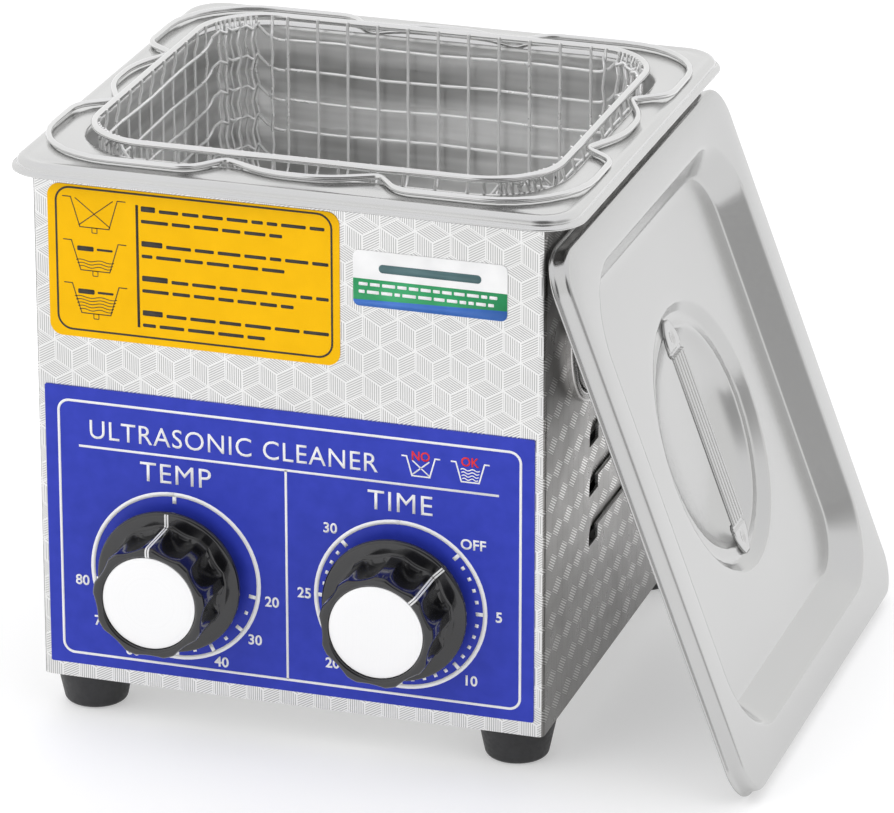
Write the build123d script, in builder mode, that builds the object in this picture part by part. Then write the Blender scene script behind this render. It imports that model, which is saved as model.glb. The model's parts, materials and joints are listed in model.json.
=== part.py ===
"""Bench-top ultrasonic cleaner with heated tank, wire basket and loose lid.

Millimetres, +Z up. The origin is the middle of the whole object's footprint, on the
surface that it stands on. The cleaner's own centre line is at CENTRE_X, CENTRE_Y and the
lid leans against the cleaner's right side.
"""
from build123d import *
import math
import os

# ---- driving dimensions ----------------------------------------------------------------
SHEET = 1.0                      # stainless sheet of the housing and the tank
FIT = 0.05                       # radial clearance of a turning shaft
GAP = 0.3                        # space kept between pieces that move past each other

HOUSING_W = 159.5                # outside width
HOUSING_D = 165.0                # outside depth
HOUSING_BOTTOM = 12.0            # underside, carried by the feet
HOUSING_TOP = 175.0
BEND_R = 2.0                     # outside radius of the housing's bends
LIP = 8.0                        # inward flange at the housing's open edges

FLANGE_W = 175.0
FLANGE_D = 168.6
FLANGE_TOP = 177.0
FLANGE_R = 12.0
SKIRT_BOTTOM = 173.3
SKIRT_LIP = 1.5                  # the skirt's edge turned outward
SKIRT_LIP_H = 0.8

TANK_W = 150.0                   # inside
TANK_D = 135.0
TANK_DEPTH = 65.0
TANK_R = 24.0
TANK_FLOOR_R = 6.0
TANK_FLOOR = FLANGE_TOP - TANK_DEPTH

FOOT_R_TOP = 12.0
FOOT_R_BOTTOM = 9.5
FOOT_INSET_X = 12.0
FOOT_INSET_Y = 13.0
FOOT_SCREW_R = 2.0

PANEL_X0, PANEL_X1 = -77.0, 76.8
PANEL_Z0, PANEL_Z1 = 16.7, 107.3
PANEL_T = 0.5
PANEL_R = 0.5
LABEL_X0, LABEL_X1 = -74.75, 16.65
LABEL_Z0, LABEL_Z1 = 123.5, 171.5
STICKER_X0, STICKER_X1 = 20.8, 68.2
STICKER_Z0, STICKER_Z1 = 143.4, 160.8
STICKER_T = 0.25

KNOB_Z = 49.6
TEMP_X = -36.7
TIMER_X = 34.7
TEMP_POINTER = 0.0               # clockwise from the top, in degrees
TIMER_POINTER = 45.0
KNOB_SKIRT_R = 22.7
KNOB_SKIRT_T = 2.4
KNOB_GRIP_R = 17.6
KNOB_DEPTH = 19.6                # from the back of the skirt to the front of the grip
KNOB_GAP = 3.2                   # between the panel and the knob
KNOB_LOBES = 9
SCALLOP_R = 4.4
SCALLOP_RADIUS = 20.5
CAP_R = 14.7
CAP_T = 0.8
CAP_SUNK = 0.8                   # how far the cap lies behind the grip's front
SHAFT_R = 3.0
SHAFT_IN_KNOB = 15.0
BUSH_R = 4.9
NUT_AF = 14.0
NUT_T = 2.4
CONTROL_DEPTH = 28.0

RIM_W, RIM_D, RIM_R = 146.0, 130.0, 22.0     # basket rim, at the rod's centre line
RIM_ROD_R = 1.15
RIM_Z = 180.0
HANGER_ROD_R = 1.0
HANGER_Z = FLANGE_TOP + HANGER_ROD_R + GAP
MESH_PITCH = 10.0
MESH_WIRE = 1.0
BASKET_FLOOR = 127.5

LID_W = 175.0                    # along the slope
LID_D = 173.9
LID_R = 12.0
LID_SHEET = 0.8
LID_SKIRT = 5.5
LID_LIP = 1.0
LID_RIM = 12.0
LID_RECESS = 8.0
LID_SLOPE = 45.0
LID_RECESS_R = 25.0
STEP_R_TOP = 42.3                 # sloping step down to the ledge that carries the handle
STEP_DEPTH = 3.0
STEP_SLOPE = 45.0
BOWL_R_TOP = 34.5
BOWL_DEPTH = 7.0
BOWL_TAPER = 31.0
LID_TILT = 69.4
LID_Y = -1.2
STRIP_HALF = 38.6                # lid handle, half length with its tabs
STRIP_RIBBED = 28.5
STRIP_W = 11.0
STRIP_T = 1.2
RIB_W, RIB_H = 1.6, 0.5
RIB_PITCH = 2.8

HANDLE_L, HANDLE_H = 124.0, 48.0             # side handle plate
HANDLE_Z = 129.0
HANDLE_BASE_T = 0.6
HANDLE_RIM = 3.0
HANDLE_PROUD = 2.5
FLAP_T = 1.2
FLAP_EDGE = 0.25
FLAP_TOP_Z = 123.6
HINGE_Z = 125.6
HINGE_R = 0.7
HINGE_HALF = 54.0
LUG_T = 2.0
RIVET_Y, RIVET_Z = 40.0, 138.5

VENT_Z = (55.0, 71.2, 87.4)      # lower edge of each louvre
VENT_HALF = 35.7
VENT_LEG = 9.5
VENT_H = 9.0
VENT_BAND = 5.0
VENT_BLADE_DEPTH = 3.0
VENT_BLADE_T = 0.8
VENT_KNEE = 0.5                  # how far in a blade is at the foot of its band

REAR_SCREW_X = 74.8
REAR_SCREW_Z = (30.0, 92.0, 160.0)
FAN_X, FAN_Z = 38.0, 60.0
FAN_SIZE = 60.0
FAN_T = 15.0
FAN_HOLE = 25.0                  # half of the screw spacing
INLET_X, INLET_Z = -42.0, 40.0
INLET_EAR = 20.0                 # half of the screw spacing

# The turned lid's lowest edge stands on the floor, and its top edge meets the right side.
TILT = math.radians(LID_TILT)
HALF_LID = LID_W / 2 + LID_LIP
LID_Z = HALF_LID * math.sin(TILT) + LID_SKIRT * math.cos(TILT)
LID_X = HOUSING_W / 2 + GAP + HALF_LID * math.cos(TILT) + LID_SKIRT * math.sin(TILT)

# Whole object: flange on the left, lid on the right, knobs in front, lid at the back.
LEFT = -FLANGE_W / 2 - SKIRT_LIP
RIGHT = LID_X + LID_W / 2 * math.cos(TILT)
FRONT = -HOUSING_D / 2 - PANEL_T - KNOB_GAP - KNOB_DEPTH
BACK = LID_Y + LID_D / 2 + LID_LIP
CENTRE_X = -(LEFT + RIGHT) / 2
CENTRE_Y = -(FRONT + BACK) / 2

os.makedirs("parts", exist_ok=True)


# ---- helpers ---------------------------------------------------------------------------
def level(z):
    """A plane seen from above, at height z, centred on the cleaner."""
    return Plane(origin=(CENTRE_X, CENTRE_Y, z))


def front(y):
    """A plane that faces the user; its own axes are the cleaner's x and z."""
    return Plane(origin=(CENTRE_X, CENTRE_Y + y, 0), x_dir=(1, 0, 0), z_dir=(0, -1, 0))


def rear(y):
    """A plane that faces backwards; its own x runs the other way."""
    return Plane(origin=(CENTRE_X, CENTRE_Y + y, 0), x_dir=(-1, 0, 0), z_dir=(0, 1, 0))


def side(x, sign=1):
    """A plane that faces outward on the right (sign 1) or left (sign -1) side."""
    return Plane(origin=(CENTRE_X + sign * x, CENTRE_Y, 0), x_dir=(0, sign, 0), z_dir=(sign, 0, 0))


def finish(piece, name):
    """Label a piece and write its STEP file."""
    piece.part.label = name
    export_step(piece.part, f"parts/{name}.step")


def plate(name, plane, x0, x1, z0, z1, thickness, corner=0.0, holes=()):
    """A flat plate between two corners of a plane, with round holes (x, z, r)."""
    with BuildPart() as piece:
        with BuildSketch(plane):
            with Locations(((x0 + x1) / 2, (z0 + z1) / 2)):
                if corner:
                    RectangleRounded(x1 - x0, z1 - z0, corner)
                else:
                    Rectangle(x1 - x0, z1 - z0)
            for x, z, r in holes:
                with Locations((x, z)):
                    Circle(r, mode=Mode.SUBTRACT)
        extrude(amount=thickness)
    finish(piece, name)


def screws(name, plane, spots, head_r, head_h, shank_r, shank_l):
    """Round-headed screws standing on a plane, their shanks going into it."""
    with BuildPart() as piece:
        for x, y in spots:
            with BuildSketch(plane):
                with Locations((x, y)):
                    Circle(head_r)
            extrude(amount=head_h)
            with BuildSketch(plane):
                with Locations((x, y)):
                    Circle(shank_r)
            extrude(amount=-shank_l)
        rims = piece.edges().filter_by(GeomType.CIRCLE).filter_by(lambda e: abs(e.radius - head_r) < 0.01)
        outer = [e for e in rims if abs(plane.to_local_coords(e.arc_center).Z - head_h) < 0.01]
        fillet(outer, radius=head_h * 0.45)
    finish(piece, name)


# ---- housing ---------------------------------------------------------------------------
HALF_W = HOUSING_W / 2
HALF_D = HOUSING_D / 2
FRONT_FACE = -HALF_D
BASE_T = 1.2
BASE_TOP = HOUSING_BOTTOM + BASE_T
BASE_SCREWS = [(sx * (HALF_W - 30), sy * (HALF_D - SHEET - 5)) for sx in (-1, 1) for sy in (-1, 1)]
FEET = [(sx * (HALF_W - FOOT_INSET_X), sy * (HALF_D - FOOT_INSET_Y)) for sx in (-1, 1) for sy in (-1, 1)]
RIVETS = [(sy * RIVET_Y, RIVET_Z) for sy in (-1, 1)]


VENT_BEND = VENT_H - 2            # outside radius of a louvre's upper corners

with BuildPart() as housing_wrap:
    with BuildSketch(level(HOUSING_BOTTOM)):
        with BuildLine():
            FilletPolyline(
                (HALF_W - LIP, HALF_D),
                (HALF_W, HALF_D),
                (HALF_W, -HALF_D),
                (-HALF_W, -HALF_D),
                (-HALF_W, HALF_D),
                (-HALF_W + LIP, HALF_D),
                radius=BEND_R,
            )
            offset(amount=-SHEET, side=Side.RIGHT)
        make_face()
    extrude(amount=HOUSING_TOP - HOUSING_BOTTOM)
    with BuildSketch(level(BASE_TOP)):
        with Locations((0, -SHEET / 2)):
            Rectangle(HOUSING_W - 2 * SHEET, HOUSING_D - SHEET)
            Rectangle(HOUSING_W - 2 * LIP, HOUSING_D - 2 * LIP, mode=Mode.SUBTRACT)
        with Locations((0, HALF_D - LIP / 2)):
            Rectangle(HOUSING_W - 2 * LIP, 3 * LIP, mode=Mode.SUBTRACT)
        with Locations(*[spot for spot in BASE_SCREWS if spot[1] < 0]):
            Circle(1.3, mode=Mode.SUBTRACT)
        with Locations(*FEET):
            Circle(5.2, mode=Mode.SUBTRACT)
    extrude(amount=SHEET)
    with BuildSketch(front(FRONT_FACE)):
        with Locations((TEMP_X, KNOB_Z), (TIMER_X, KNOB_Z)):
            Circle(BUSH_R + 0.15)
    extrude(amount=-2 * SHEET, mode=Mode.SUBTRACT)
    for sign in (-1, 1):
        with BuildSketch(side(HALF_W, sign)):
            for vent_z in VENT_Z:
                vent_top = vent_z + VENT_H
                with BuildLine():
                    Line((-VENT_HALF, vent_z), (-VENT_HALF, vent_top - VENT_BEND))
                    JernArc((-VENT_HALF, vent_top - VENT_BEND), (0, 1), VENT_BEND, -90)
                    Line((-VENT_HALF + VENT_BEND, vent_top), (VENT_HALF - VENT_BEND, vent_top))
                    JernArc((VENT_HALF - VENT_BEND, vent_top), (1, 0), VENT_BEND, -90)
                    Polyline(
                        (VENT_HALF, vent_top - VENT_BEND),
                        (VENT_HALF, vent_z),
                        (VENT_HALF - VENT_LEG, vent_z),
                        (VENT_HALF - VENT_LEG, vent_top - VENT_BAND),
                        (-VENT_HALF + VENT_LEG, vent_top - VENT_BAND),
                        (-VENT_HALF + VENT_LEG, vent_z),
                        (-VENT_HALF, vent_z),
                    )
                make_face()
            with Locations(*RIVETS):
                Circle(1.3)
        extrude(amount=-2 * SHEET, mode=Mode.SUBTRACT)
        inner = HALF_W - SHEET
        for vent_z in VENT_Z:
            blade_plane = Plane(origin=(CENTRE_X, CENTRE_Y, 0), x_dir=(sign, 0, 0), z_dir=(0, -sign, 0))
            with BuildSketch(blade_plane):
                with BuildLine():
                    Polyline(
                        (inner + 0.2, vent_z + VENT_H),
                        (inner + 0.2, vent_z + VENT_H + 1.5),
                        (inner - VENT_KNEE - VENT_BLADE_T, vent_z + VENT_H - VENT_BAND),
                        (inner - VENT_BLADE_DEPTH - VENT_BLADE_T, vent_z - 1.6),
                        (inner - VENT_BLADE_DEPTH, vent_z - 1.6),
                        (inner - VENT_KNEE, vent_z + VENT_H - VENT_BAND),
                        (inner + 0.2, vent_z + VENT_H),
                    )
                make_face()
            extrude(amount=VENT_HALF + 2, both=True)
    with BuildSketch(rear(HALF_D)):
        with Locations(*[(sx * REAR_SCREW_X, z) for sx in (-1, 1) for z in REAR_SCREW_Z]):
            Circle(1.3)
    extrude(amount=-2 * SHEET, mode=Mode.SUBTRACT)
finish(housing_wrap, "housing_wrap")

plate(
    "base_plate",
    level(HOUSING_BOTTOM),
    -HALF_W + SHEET,
    HALF_W - SHEET,
    -HALF_D + SHEET,
    HALF_D - SHEET,
    BASE_T,
    BEND_R,
    holes=[(x, y, 1.6) for x, y in BASE_SCREWS] + [(x, y, FOOT_SCREW_R + 0.2) for x, y in FEET],
)
screws("base_screws", level(HOUSING_BOTTOM).rotated((180, 0, 0)), [(x, -y) for x, y in BASE_SCREWS],
       3.0, 1.8, 1.2, BASE_T + SHEET + 2)

REAR_T = 1.0
REAR_INNER = HALF_D - SHEET - REAR_T
REAR_LOW = BASE_TOP + SHEET + 0.2
REAR_HIGH = HOUSING_TOP - 0.2
with BuildPart() as rear_panel:
    with BuildSketch(rear(REAR_INNER)):
        with Locations((0, (REAR_LOW + REAR_HIGH) / 2)):
            Rectangle(HOUSING_W - 2 * SHEET - 2 * BEND_R, REAR_HIGH - REAR_LOW)
        with Locations(*[(sx * REAR_SCREW_X, z) for sx in (-1, 1) for z in REAR_SCREW_Z]):
            Circle(1.3, mode=Mode.SUBTRACT)
        with Locations((-FAN_X, FAN_Z)):
            with GridLocations(0, 6.0, 1, 8):
                SlotOverall(40, 3.4, mode=Mode.SUBTRACT)
            with GridLocations(2 * FAN_HOLE, 2 * FAN_HOLE, 2, 2):
                Circle(1.6, mode=Mode.SUBTRACT)
        with Locations((-INLET_X, INLET_Z)):
            RectangleRounded(28, 20.4, 3, mode=Mode.SUBTRACT)
            with GridLocations(2 * INLET_EAR, 0, 2, 1):
                Circle(1.6, mode=Mode.SUBTRACT)
    extrude(amount=REAR_T)
    with BuildSketch(rear(REAR_INNER + REAR_T)):
        with Locations((0, (REAR_LOW + REAR_HIGH) / 2)):
            Rectangle(HOUSING_W - 2 * LIP - 0.6, REAR_HIGH - REAR_LOW)
        with Locations((-FAN_X, FAN_Z)):
            with GridLocations(0, 6.0, 1, 8):
                SlotOverall(40, 3.4, mode=Mode.SUBTRACT)
            with GridLocations(2 * FAN_HOLE, 2 * FAN_HOLE, 2, 2):
                Circle(1.6, mode=Mode.SUBTRACT)
        with Locations((-INLET_X, INLET_Z)):
            RectangleRounded(28, 20.4, 3, mode=Mode.SUBTRACT)
            with GridLocations(2 * INLET_EAR, 0, 2, 1):
                Circle(1.6, mode=Mode.SUBTRACT)
    extrude(amount=SHEET - 0.2)
finish(rear_panel, "rear_panel")
REAR_FACE = REAR_INNER + REAR_T + SHEET - 0.2
screws("rear_screws", rear(HALF_D), [(sx * REAR_SCREW_X, z) for sx in (-1, 1) for z in REAR_SCREW_Z],
       2.8, 1.7, 1.2, 4.0)

# ---- tank ------------------------------------------------------------------------------
with BuildPart() as tank_cavity:
    with BuildSketch(level(TANK_FLOOR)):
        RectangleRounded(TANK_W, TANK_D, TANK_R)
    extrude(amount=TANK_DEPTH + 1)
    fillet(tank_cavity.faces().sort_by(Axis.Z)[0].edges(), radius=TANK_FLOOR_R)

with BuildPart() as tank:
    with BuildSketch(level(TANK_FLOOR - SHEET)):
        RectangleRounded(TANK_W + 2 * SHEET, TANK_D + 2 * SHEET, TANK_R + SHEET)
    extrude(amount=TANK_DEPTH)
    fillet(tank.faces().sort_by(Axis.Z)[0].edges(), radius=TANK_FLOOR_R + SHEET)
    with BuildSketch(level(FLANGE_TOP - SHEET)):
        RectangleRounded(FLANGE_W, FLANGE_D, FLANGE_R)
    extrude(amount=SHEET)
    with BuildSketch(level(SKIRT_BOTTOM)):
        RectangleRounded(FLANGE_W, FLANGE_D, FLANGE_R)
        RectangleRounded(FLANGE_W - 2 * SHEET, FLANGE_D - 2 * SHEET, FLANGE_R - SHEET, mode=Mode.SUBTRACT)
    extrude(amount=FLANGE_TOP - SHEET - SKIRT_BOTTOM)
    with BuildSketch(level(SKIRT_BOTTOM)):
        RectangleRounded(FLANGE_W + 2 * SKIRT_LIP, FLANGE_D + 2 * SKIRT_LIP, FLANGE_R + SKIRT_LIP)
        RectangleRounded(FLANGE_W - 2 * SHEET, FLANGE_D - 2 * SHEET, FLANGE_R - SHEET, mode=Mode.SUBTRACT)
    extrude(amount=SKIRT_LIP_H)
    fillet(tank.faces().sort_by(Axis.Z)[-1].outer_wire().edges(), radius=0.8)
    add(tank_cavity.part, mode=Mode.SUBTRACT)
    fillet(tank.faces().sort_by(Axis.Z)[-1].inner_wires()[0].edges(), radius=0.8)
finish(tank, "tank")

SEAL_H = FLANGE_TOP - SHEET - HOUSING_TOP
with BuildPart() as tank_seal:
    with BuildSketch(level(HOUSING_TOP)):
        RectangleRounded(HOUSING_W, HOUSING_D, BEND_R)
        RectangleRounded(TANK_W + 2 * SHEET, TANK_D + 2 * SHEET, TANK_R + SHEET, mode=Mode.SUBTRACT)
    extrude(amount=SEAL_H)
finish(tank_seal, "tank_seal")

# ---- feet ------------------------------------------------------------------------------
FOOT_RECESS = 5.0
FOOT_TAPER = math.degrees(math.atan((FOOT_R_TOP - FOOT_R_BOTTOM) / HOUSING_BOTTOM))
with BuildPart() as feet:
    for foot_x, foot_y in FEET:
        with BuildSketch(Plane(origin=(CENTRE_X + foot_x, CENTRE_Y + foot_y, 0))):
            Circle(FOOT_R_BOTTOM)
        extrude(amount=HOUSING_BOTTOM, taper=-FOOT_TAPER)
    fillet(feet.faces().group_by(Axis.Z)[0].edges(), radius=2.0)
    fillet(feet.faces().group_by(Axis.Z)[-1].edges(), radius=0.8)
    for foot_x, foot_y in FEET:
        with Locations((CENTRE_X + foot_x, CENTRE_Y + foot_y, 0)):
            Cylinder(4.2, FOOT_RECESS, align=(Align.CENTER, Align.CENTER, Align.MIN), mode=Mode.SUBTRACT)
            Cylinder(FOOT_SCREW_R + 0.1, HOUSING_BOTTOM, align=(Align.CENTER, Align.CENTER, Align.MIN),
                     mode=Mode.SUBTRACT)
finish(feet, "feet")
screws("foot_screws", level(FOOT_RECESS).rotated((180, 0, 0)), [(x, -y) for x, y in FEET],
       3.8, 2.2, FOOT_SCREW_R, HOUSING_BOTTOM - FOOT_RECESS + 4)
with BuildPart() as foot_nuts:
    with BuildSketch(level(BASE_TOP)):
        with Locations(*FEET):
            RegularPolygon(3.9, 6, major_radius=False)
            Circle(FOOT_SCREW_R, mode=Mode.SUBTRACT)
    extrude(amount=2.0)
finish(foot_nuts, "foot_nuts")

# ---- front panel and labels ------------------------------------------------------------
plate("control_panel", front(FRONT_FACE), PANEL_X0, PANEL_X1, PANEL_Z0, PANEL_Z1, PANEL_T, PANEL_R,
      holes=[(TEMP_X, KNOB_Z, 9.0), (TIMER_X, KNOB_Z, 9.0)])
plate("notice_label", front(FRONT_FACE), LABEL_X0, LABEL_X1, LABEL_Z0, LABEL_Z1, STICKER_T, 4.0)
plate("side_sticker", front(FRONT_FACE), STICKER_X0, STICKER_X1, STICKER_Z0, STICKER_Z1, STICKER_T, 2.0)

# ---- knobs and the controls behind them ------------------------------------------------
KNOB_BACK = FRONT_FACE - PANEL_T - KNOB_GAP
KNOB_FRONT = KNOB_BACK - KNOB_DEPTH
GRIP_FACE = KNOB_BACK - KNOB_SKIRT_T
POINTER_W = 1.3
POINTER_T = 0.35


def knob(name, x, pointer):
    """A fluted knob on a round skirt, with its cap disc and its pointer line."""
    with BuildPart() as body:
        with BuildSketch(front(KNOB_BACK)):
            with Locations((x, KNOB_Z)):
                Circle(KNOB_SKIRT_R)
        extrude(amount=KNOB_SKIRT_T)
        fillet(body.faces().sort_by(Axis.Y)[0].edges(), radius=0.7)
        with BuildSketch(front(GRIP_FACE + 0.01)):
            with Locations((x, KNOB_Z)):
                Circle(KNOB_GRIP_R)
                with PolarLocations(SCALLOP_RADIUS, KNOB_LOBES, start_angle=90 - pointer + 180 / KNOB_LOBES):
                    Circle(SCALLOP_R, mode=Mode.SUBTRACT)
        extrude(amount=KNOB_DEPTH - KNOB_SKIRT_T + 0.01)
        fillet(body.faces().sort_by(Axis.Y)[0].edges(), radius=1.2)
        with BuildSketch(front(KNOB_FRONT)):
            with Locations((x, KNOB_Z)):
                Circle(CAP_R)
        extrude(amount=-CAP_T - CAP_SUNK, mode=Mode.SUBTRACT)
        with BuildSketch(front(KNOB_BACK)):
            with Locations((x, KNOB_Z)):
                Circle(SHAFT_R)
        extrude(amount=SHAFT_IN_KNOB, mode=Mode.SUBTRACT)
    finish(body, f"{name}_knob")

    with BuildPart() as cap:
        with BuildSketch(front(KNOB_FRONT + CAP_SUNK + CAP_T)):
            with Locations((x, KNOB_Z)):
                Circle(CAP_R)
        extrude(amount=CAP_T)
    finish(cap, f"{name}_knob_cap")

    angle = math.radians(pointer)
    outward = (math.sin(angle), 0, math.cos(angle))
    across = Plane(
        origin=(CENTRE_X + x, CENTRE_Y, KNOB_Z), x_dir=outward, z_dir=(math.cos(angle), 0, -math.sin(angle))
    )
    side_y = across.to_local_coords(Vector(CENTRE_X + x, CENTRE_Y - 1, KNOB_Z)).Y
    with BuildPart() as line:
        with BuildSketch(across):
            with BuildLine():
                Polyline(
                    (KNOB_GRIP_R, side_y * (-KNOB_FRONT - 1.5)),
                    (KNOB_GRIP_R + POINTER_T, side_y * (-KNOB_FRONT - 1.5)),
                    (KNOB_GRIP_R + POINTER_T, side_y * (-GRIP_FACE + POINTER_T)),
                    (KNOB_SKIRT_R - 1.6, side_y * (-GRIP_FACE + POINTER_T)),
                    (KNOB_SKIRT_R - 1.6, side_y * -GRIP_FACE),
                    (KNOB_GRIP_R, side_y * -GRIP_FACE),
                    (KNOB_GRIP_R, side_y * (-KNOB_FRONT - 1.5)),
                )
            make_face()
        extrude(amount=POINTER_W / 2, both=True)
    finish(line, f"{name}_knob_pointer")


def control(name, shaft_name, x, width, height):
    """A shaft-operated control: its case with the threaded bushing, and its turning shaft."""
    inner = FRONT_FACE + SHEET
    with BuildPart() as case:
        with BuildSketch(front(inner)):
            with Locations((x, KNOB_Z)):
                RectangleRounded(width, height, 3)
        extrude(amount=-CONTROL_DEPTH)
        with BuildSketch(front(inner)):
            with Locations((x, KNOB_Z)):
                Circle(BUSH_R)
        extrude(amount=SHEET + PANEL_T + NUT_T)
        with BuildSketch(front(inner - SHEET - PANEL_T - NUT_T)):
            with Locations((x, KNOB_Z)):
                Circle(SHAFT_R + FIT)
        extrude(amount=-SHEET - PANEL_T - NUT_T - 6, mode=Mode.SUBTRACT)
    finish(case, name)

    with BuildPart() as shaft:
        with BuildSketch(front(inner + 6 - GAP)):
            with Locations((x, KNOB_Z)):
                Circle(SHAFT_R)
        extrude(amount=inner + 6 - GAP - (KNOB_BACK - SHAFT_IN_KNOB + 0.5))
    finish(shaft, shaft_name)


knob("temp", TEMP_X, TEMP_POINTER)
knob("timer", TIMER_X, TIMER_POINTER)
control("thermostat_case", "thermostat_shaft", TEMP_X, 38, 34)
control("timer_case", "timer_shaft", TIMER_X, 44, 40)
with BuildPart() as control_nuts:
    with BuildSketch(front(FRONT_FACE)):
        with Locations((TEMP_X, KNOB_Z), (TIMER_X, KNOB_Z)):
            RegularPolygon(NUT_AF / 2, 6, major_radius=False)
            Circle(BUSH_R, mode=Mode.SUBTRACT)
    extrude(amount=NUT_T)
finish(control_nuts, "control_nuts")

# ---- side handles ----------------------------------------------------------------------
POCKET_R = HANDLE_H / 2 - HANDLE_RIM
FLAP_R = POCKET_R - 0.6
FLAP_BACK = HALF_W + 1.0
HINGE_X = FLAP_BACK + FLAP_T / 2 + 0.05


def side_handle(which, sign):
    """A surface-mounted handle plate with a raised rim and a hinged flap."""
    run = HANDLE_L - HANDLE_H
    with BuildPart() as base:
        with BuildSketch(side(HALF_W, sign)):
            with Locations((0, HANDLE_Z)):
                SlotCenterToCenter(run, HANDLE_H)
            with Locations(*RIVETS):
                Circle(1.3, mode=Mode.SUBTRACT)
        extrude(amount=HANDLE_BASE_T)
        with BuildSketch(side(HALF_W, sign)):
            with Locations((0, HANDLE_Z)):
                SlotCenterToCenter(run, HANDLE_H)
                SlotCenterToCenter(run, 2 * POCKET_R, mode=Mode.SUBTRACT)
        extrude(amount=HANDLE_PROUD)
        rim = base.faces().sort_by(Axis.X)[-1 if sign > 0 else 0]
        fillet(rim.edges(), radius=0.9)
        with BuildSketch(side(HALF_W, sign)):
            with Locations((HINGE_HALF - LUG_T / 2, HINGE_Z), (LUG_T / 2 - HINGE_HALF, HINGE_Z)):
                Rectangle(LUG_T, 3.0)
        extrude(amount=HANDLE_PROUD)
        with Locations((CENTRE_X + sign * HINGE_X, CENTRE_Y, HINGE_Z)):
            Cylinder(HINGE_R + FIT, 2 * HINGE_HALF + 1, rotation=(90, 0, 0), mode=Mode.SUBTRACT)
    finish(base, f"handle_plate_{which}")

    with BuildPart() as flap:
        for offset_r, start, thickness in ((0, 0, FLAP_T), (1.2, FLAP_T, FLAP_EDGE)):
            with BuildSketch(side(FLAP_BACK + start, sign)):
                with Locations((0, HANDLE_Z)):
                    SlotCenterToCenter(run, 2 * FLAP_R)
                    if offset_r:
                        SlotCenterToCenter(run, 2 * (FLAP_R - offset_r), mode=Mode.SUBTRACT)
                with Locations((0, FLAP_TOP_Z + HANDLE_H / 2)):
                    Rectangle(HANDLE_L, HANDLE_H, mode=Mode.SUBTRACT)
            extrude(amount=thickness)
        leaf_w = 2 * (HINGE_HALF - LUG_T - 0.5)
        with BuildSketch(side(FLAP_BACK, sign)):
            with Locations((0, (FLAP_TOP_Z + HINGE_Z) / 2)):
                Rectangle(leaf_w, HINGE_Z - FLAP_TOP_Z)
        extrude(amount=FLAP_T)
        with Locations((CENTRE_X + sign * HINGE_X, CENTRE_Y, HINGE_Z)):
            Cylinder(HINGE_R, 2 * HINGE_HALF, rotation=(90, 0, 0))
    finish(flap, f"handle_flap_{which}")


side_handle("right", 1)
side_handle("left", -1)
with BuildPart() as handle_rivets:
    for sign in (-1, 1):
        with BuildSketch(side(HALF_W + HANDLE_BASE_T, sign)):
            with Locations(*RIVETS):
                Circle(2.5)
        extrude(amount=0.9)
        with BuildSketch(side(HALF_W + HANDLE_BASE_T, sign)):
            with Locations(*RIVETS):
                Circle(1.2)
        extrude(amount=-2.2)
finish(handle_rivets, "handle_rivets")

# ---- transducer under the tank ---------------------------------------------------------
TANK_UNDER = TANK_FLOOR - SHEET
HEAD_H = 22.0
HEAD_R = 22.5
STACK_R = 17.5
RING_T = 5.0
RING_BORE = 7.5
ELECTRODE_T = 0.4
TAIL_H = 20.0
BOLT_R = 4.9
RING_1 = TANK_UNDER - HEAD_H - RING_T
RING_2 = RING_1 - ELECTRODE_T - RING_T
TAIL_TOP = RING_2 - ELECTRODE_T
TAIL_BOTTOM = TAIL_TOP - TAIL_H
BOLT_IN_HEAD = 14.0

with BuildPart() as transducer_head:
    with BuildSketch(level(TANK_UNDER)):
        Circle(HEAD_R)
    extrude(amount=-4)
    with BuildSketch(level(TANK_UNDER - 4)):
        Circle(HEAD_R)
    with BuildSketch(level(TANK_UNDER - HEAD_H)):
        Circle(STACK_R)
    loft()
    with BuildSketch(level(TANK_UNDER - HEAD_H)):
        Circle(BOLT_R)
    extrude(amount=BOLT_IN_HEAD, mode=Mode.SUBTRACT)
finish(transducer_head, "transducer_head")


def ring(name, bottoms, height, outer, bore):
    """Flat rings on the transducer's axis, each standing at one of the given heights."""
    with BuildPart() as piece:
        for bottom in bottoms:
            with BuildSketch(level(bottom)):
                Circle(outer)
                Circle(bore, mode=Mode.SUBTRACT)
            extrude(amount=height)
    finish(piece, name)


ring("piezo_rings", (RING_1, RING_2), RING_T, STACK_R, RING_BORE)
ring("transducer_tail", (TAIL_BOTTOM,), TAIL_H, STACK_R, BOLT_R + 0.2)
with BuildPart() as transducer_electrodes:
    for bottom in (RING_1 - ELECTRODE_T, RING_2 - ELECTRODE_T):
        with BuildSketch(level(bottom)):
            Circle(STACK_R)
            with Locations((STACK_R + 2, 0)):
                Rectangle(8, 5)
            Circle(RING_BORE, mode=Mode.SUBTRACT)
        extrude(amount=ELECTRODE_T)
finish(transducer_electrodes, "transducer_electrodes")
with BuildPart() as transducer_bolt:
    with BuildSketch(level(TAIL_BOTTOM)):
        Circle(8)
        RegularPolygon(4, 6, mode=Mode.SUBTRACT)
    extrude(amount=-7)
    with BuildSketch(level(TAIL_BOTTOM - 3)):
        Circle(BOLT_R)
    extrude(amount=3 + TAIL_H + 2 * (RING_T + ELECTRODE_T) + BOLT_IN_HEAD - 1)
finish(transducer_bolt, "transducer_bolt")

# ---- heater and temperature sensing ----------------------------------------------------
PAD_W = 92.0
PAD_H = 34.0
PAD_T = 1.5
PAD_Z = TANK_FLOOR + TANK_FLOOR_R + 4
TANK_OUTER_Y = TANK_D / 2 + SHEET
with BuildPart() as heater_pads:
    for pad_plane in (front(-TANK_OUTER_Y), rear(TANK_OUTER_Y)):
        with BuildSketch(pad_plane):
            with Locations((0, PAD_Z + PAD_H / 2)):
                RectangleRounded(PAD_W, PAD_H, 4)
        extrude(amount=PAD_T)
finish(heater_pads, "heater_pads")

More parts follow.
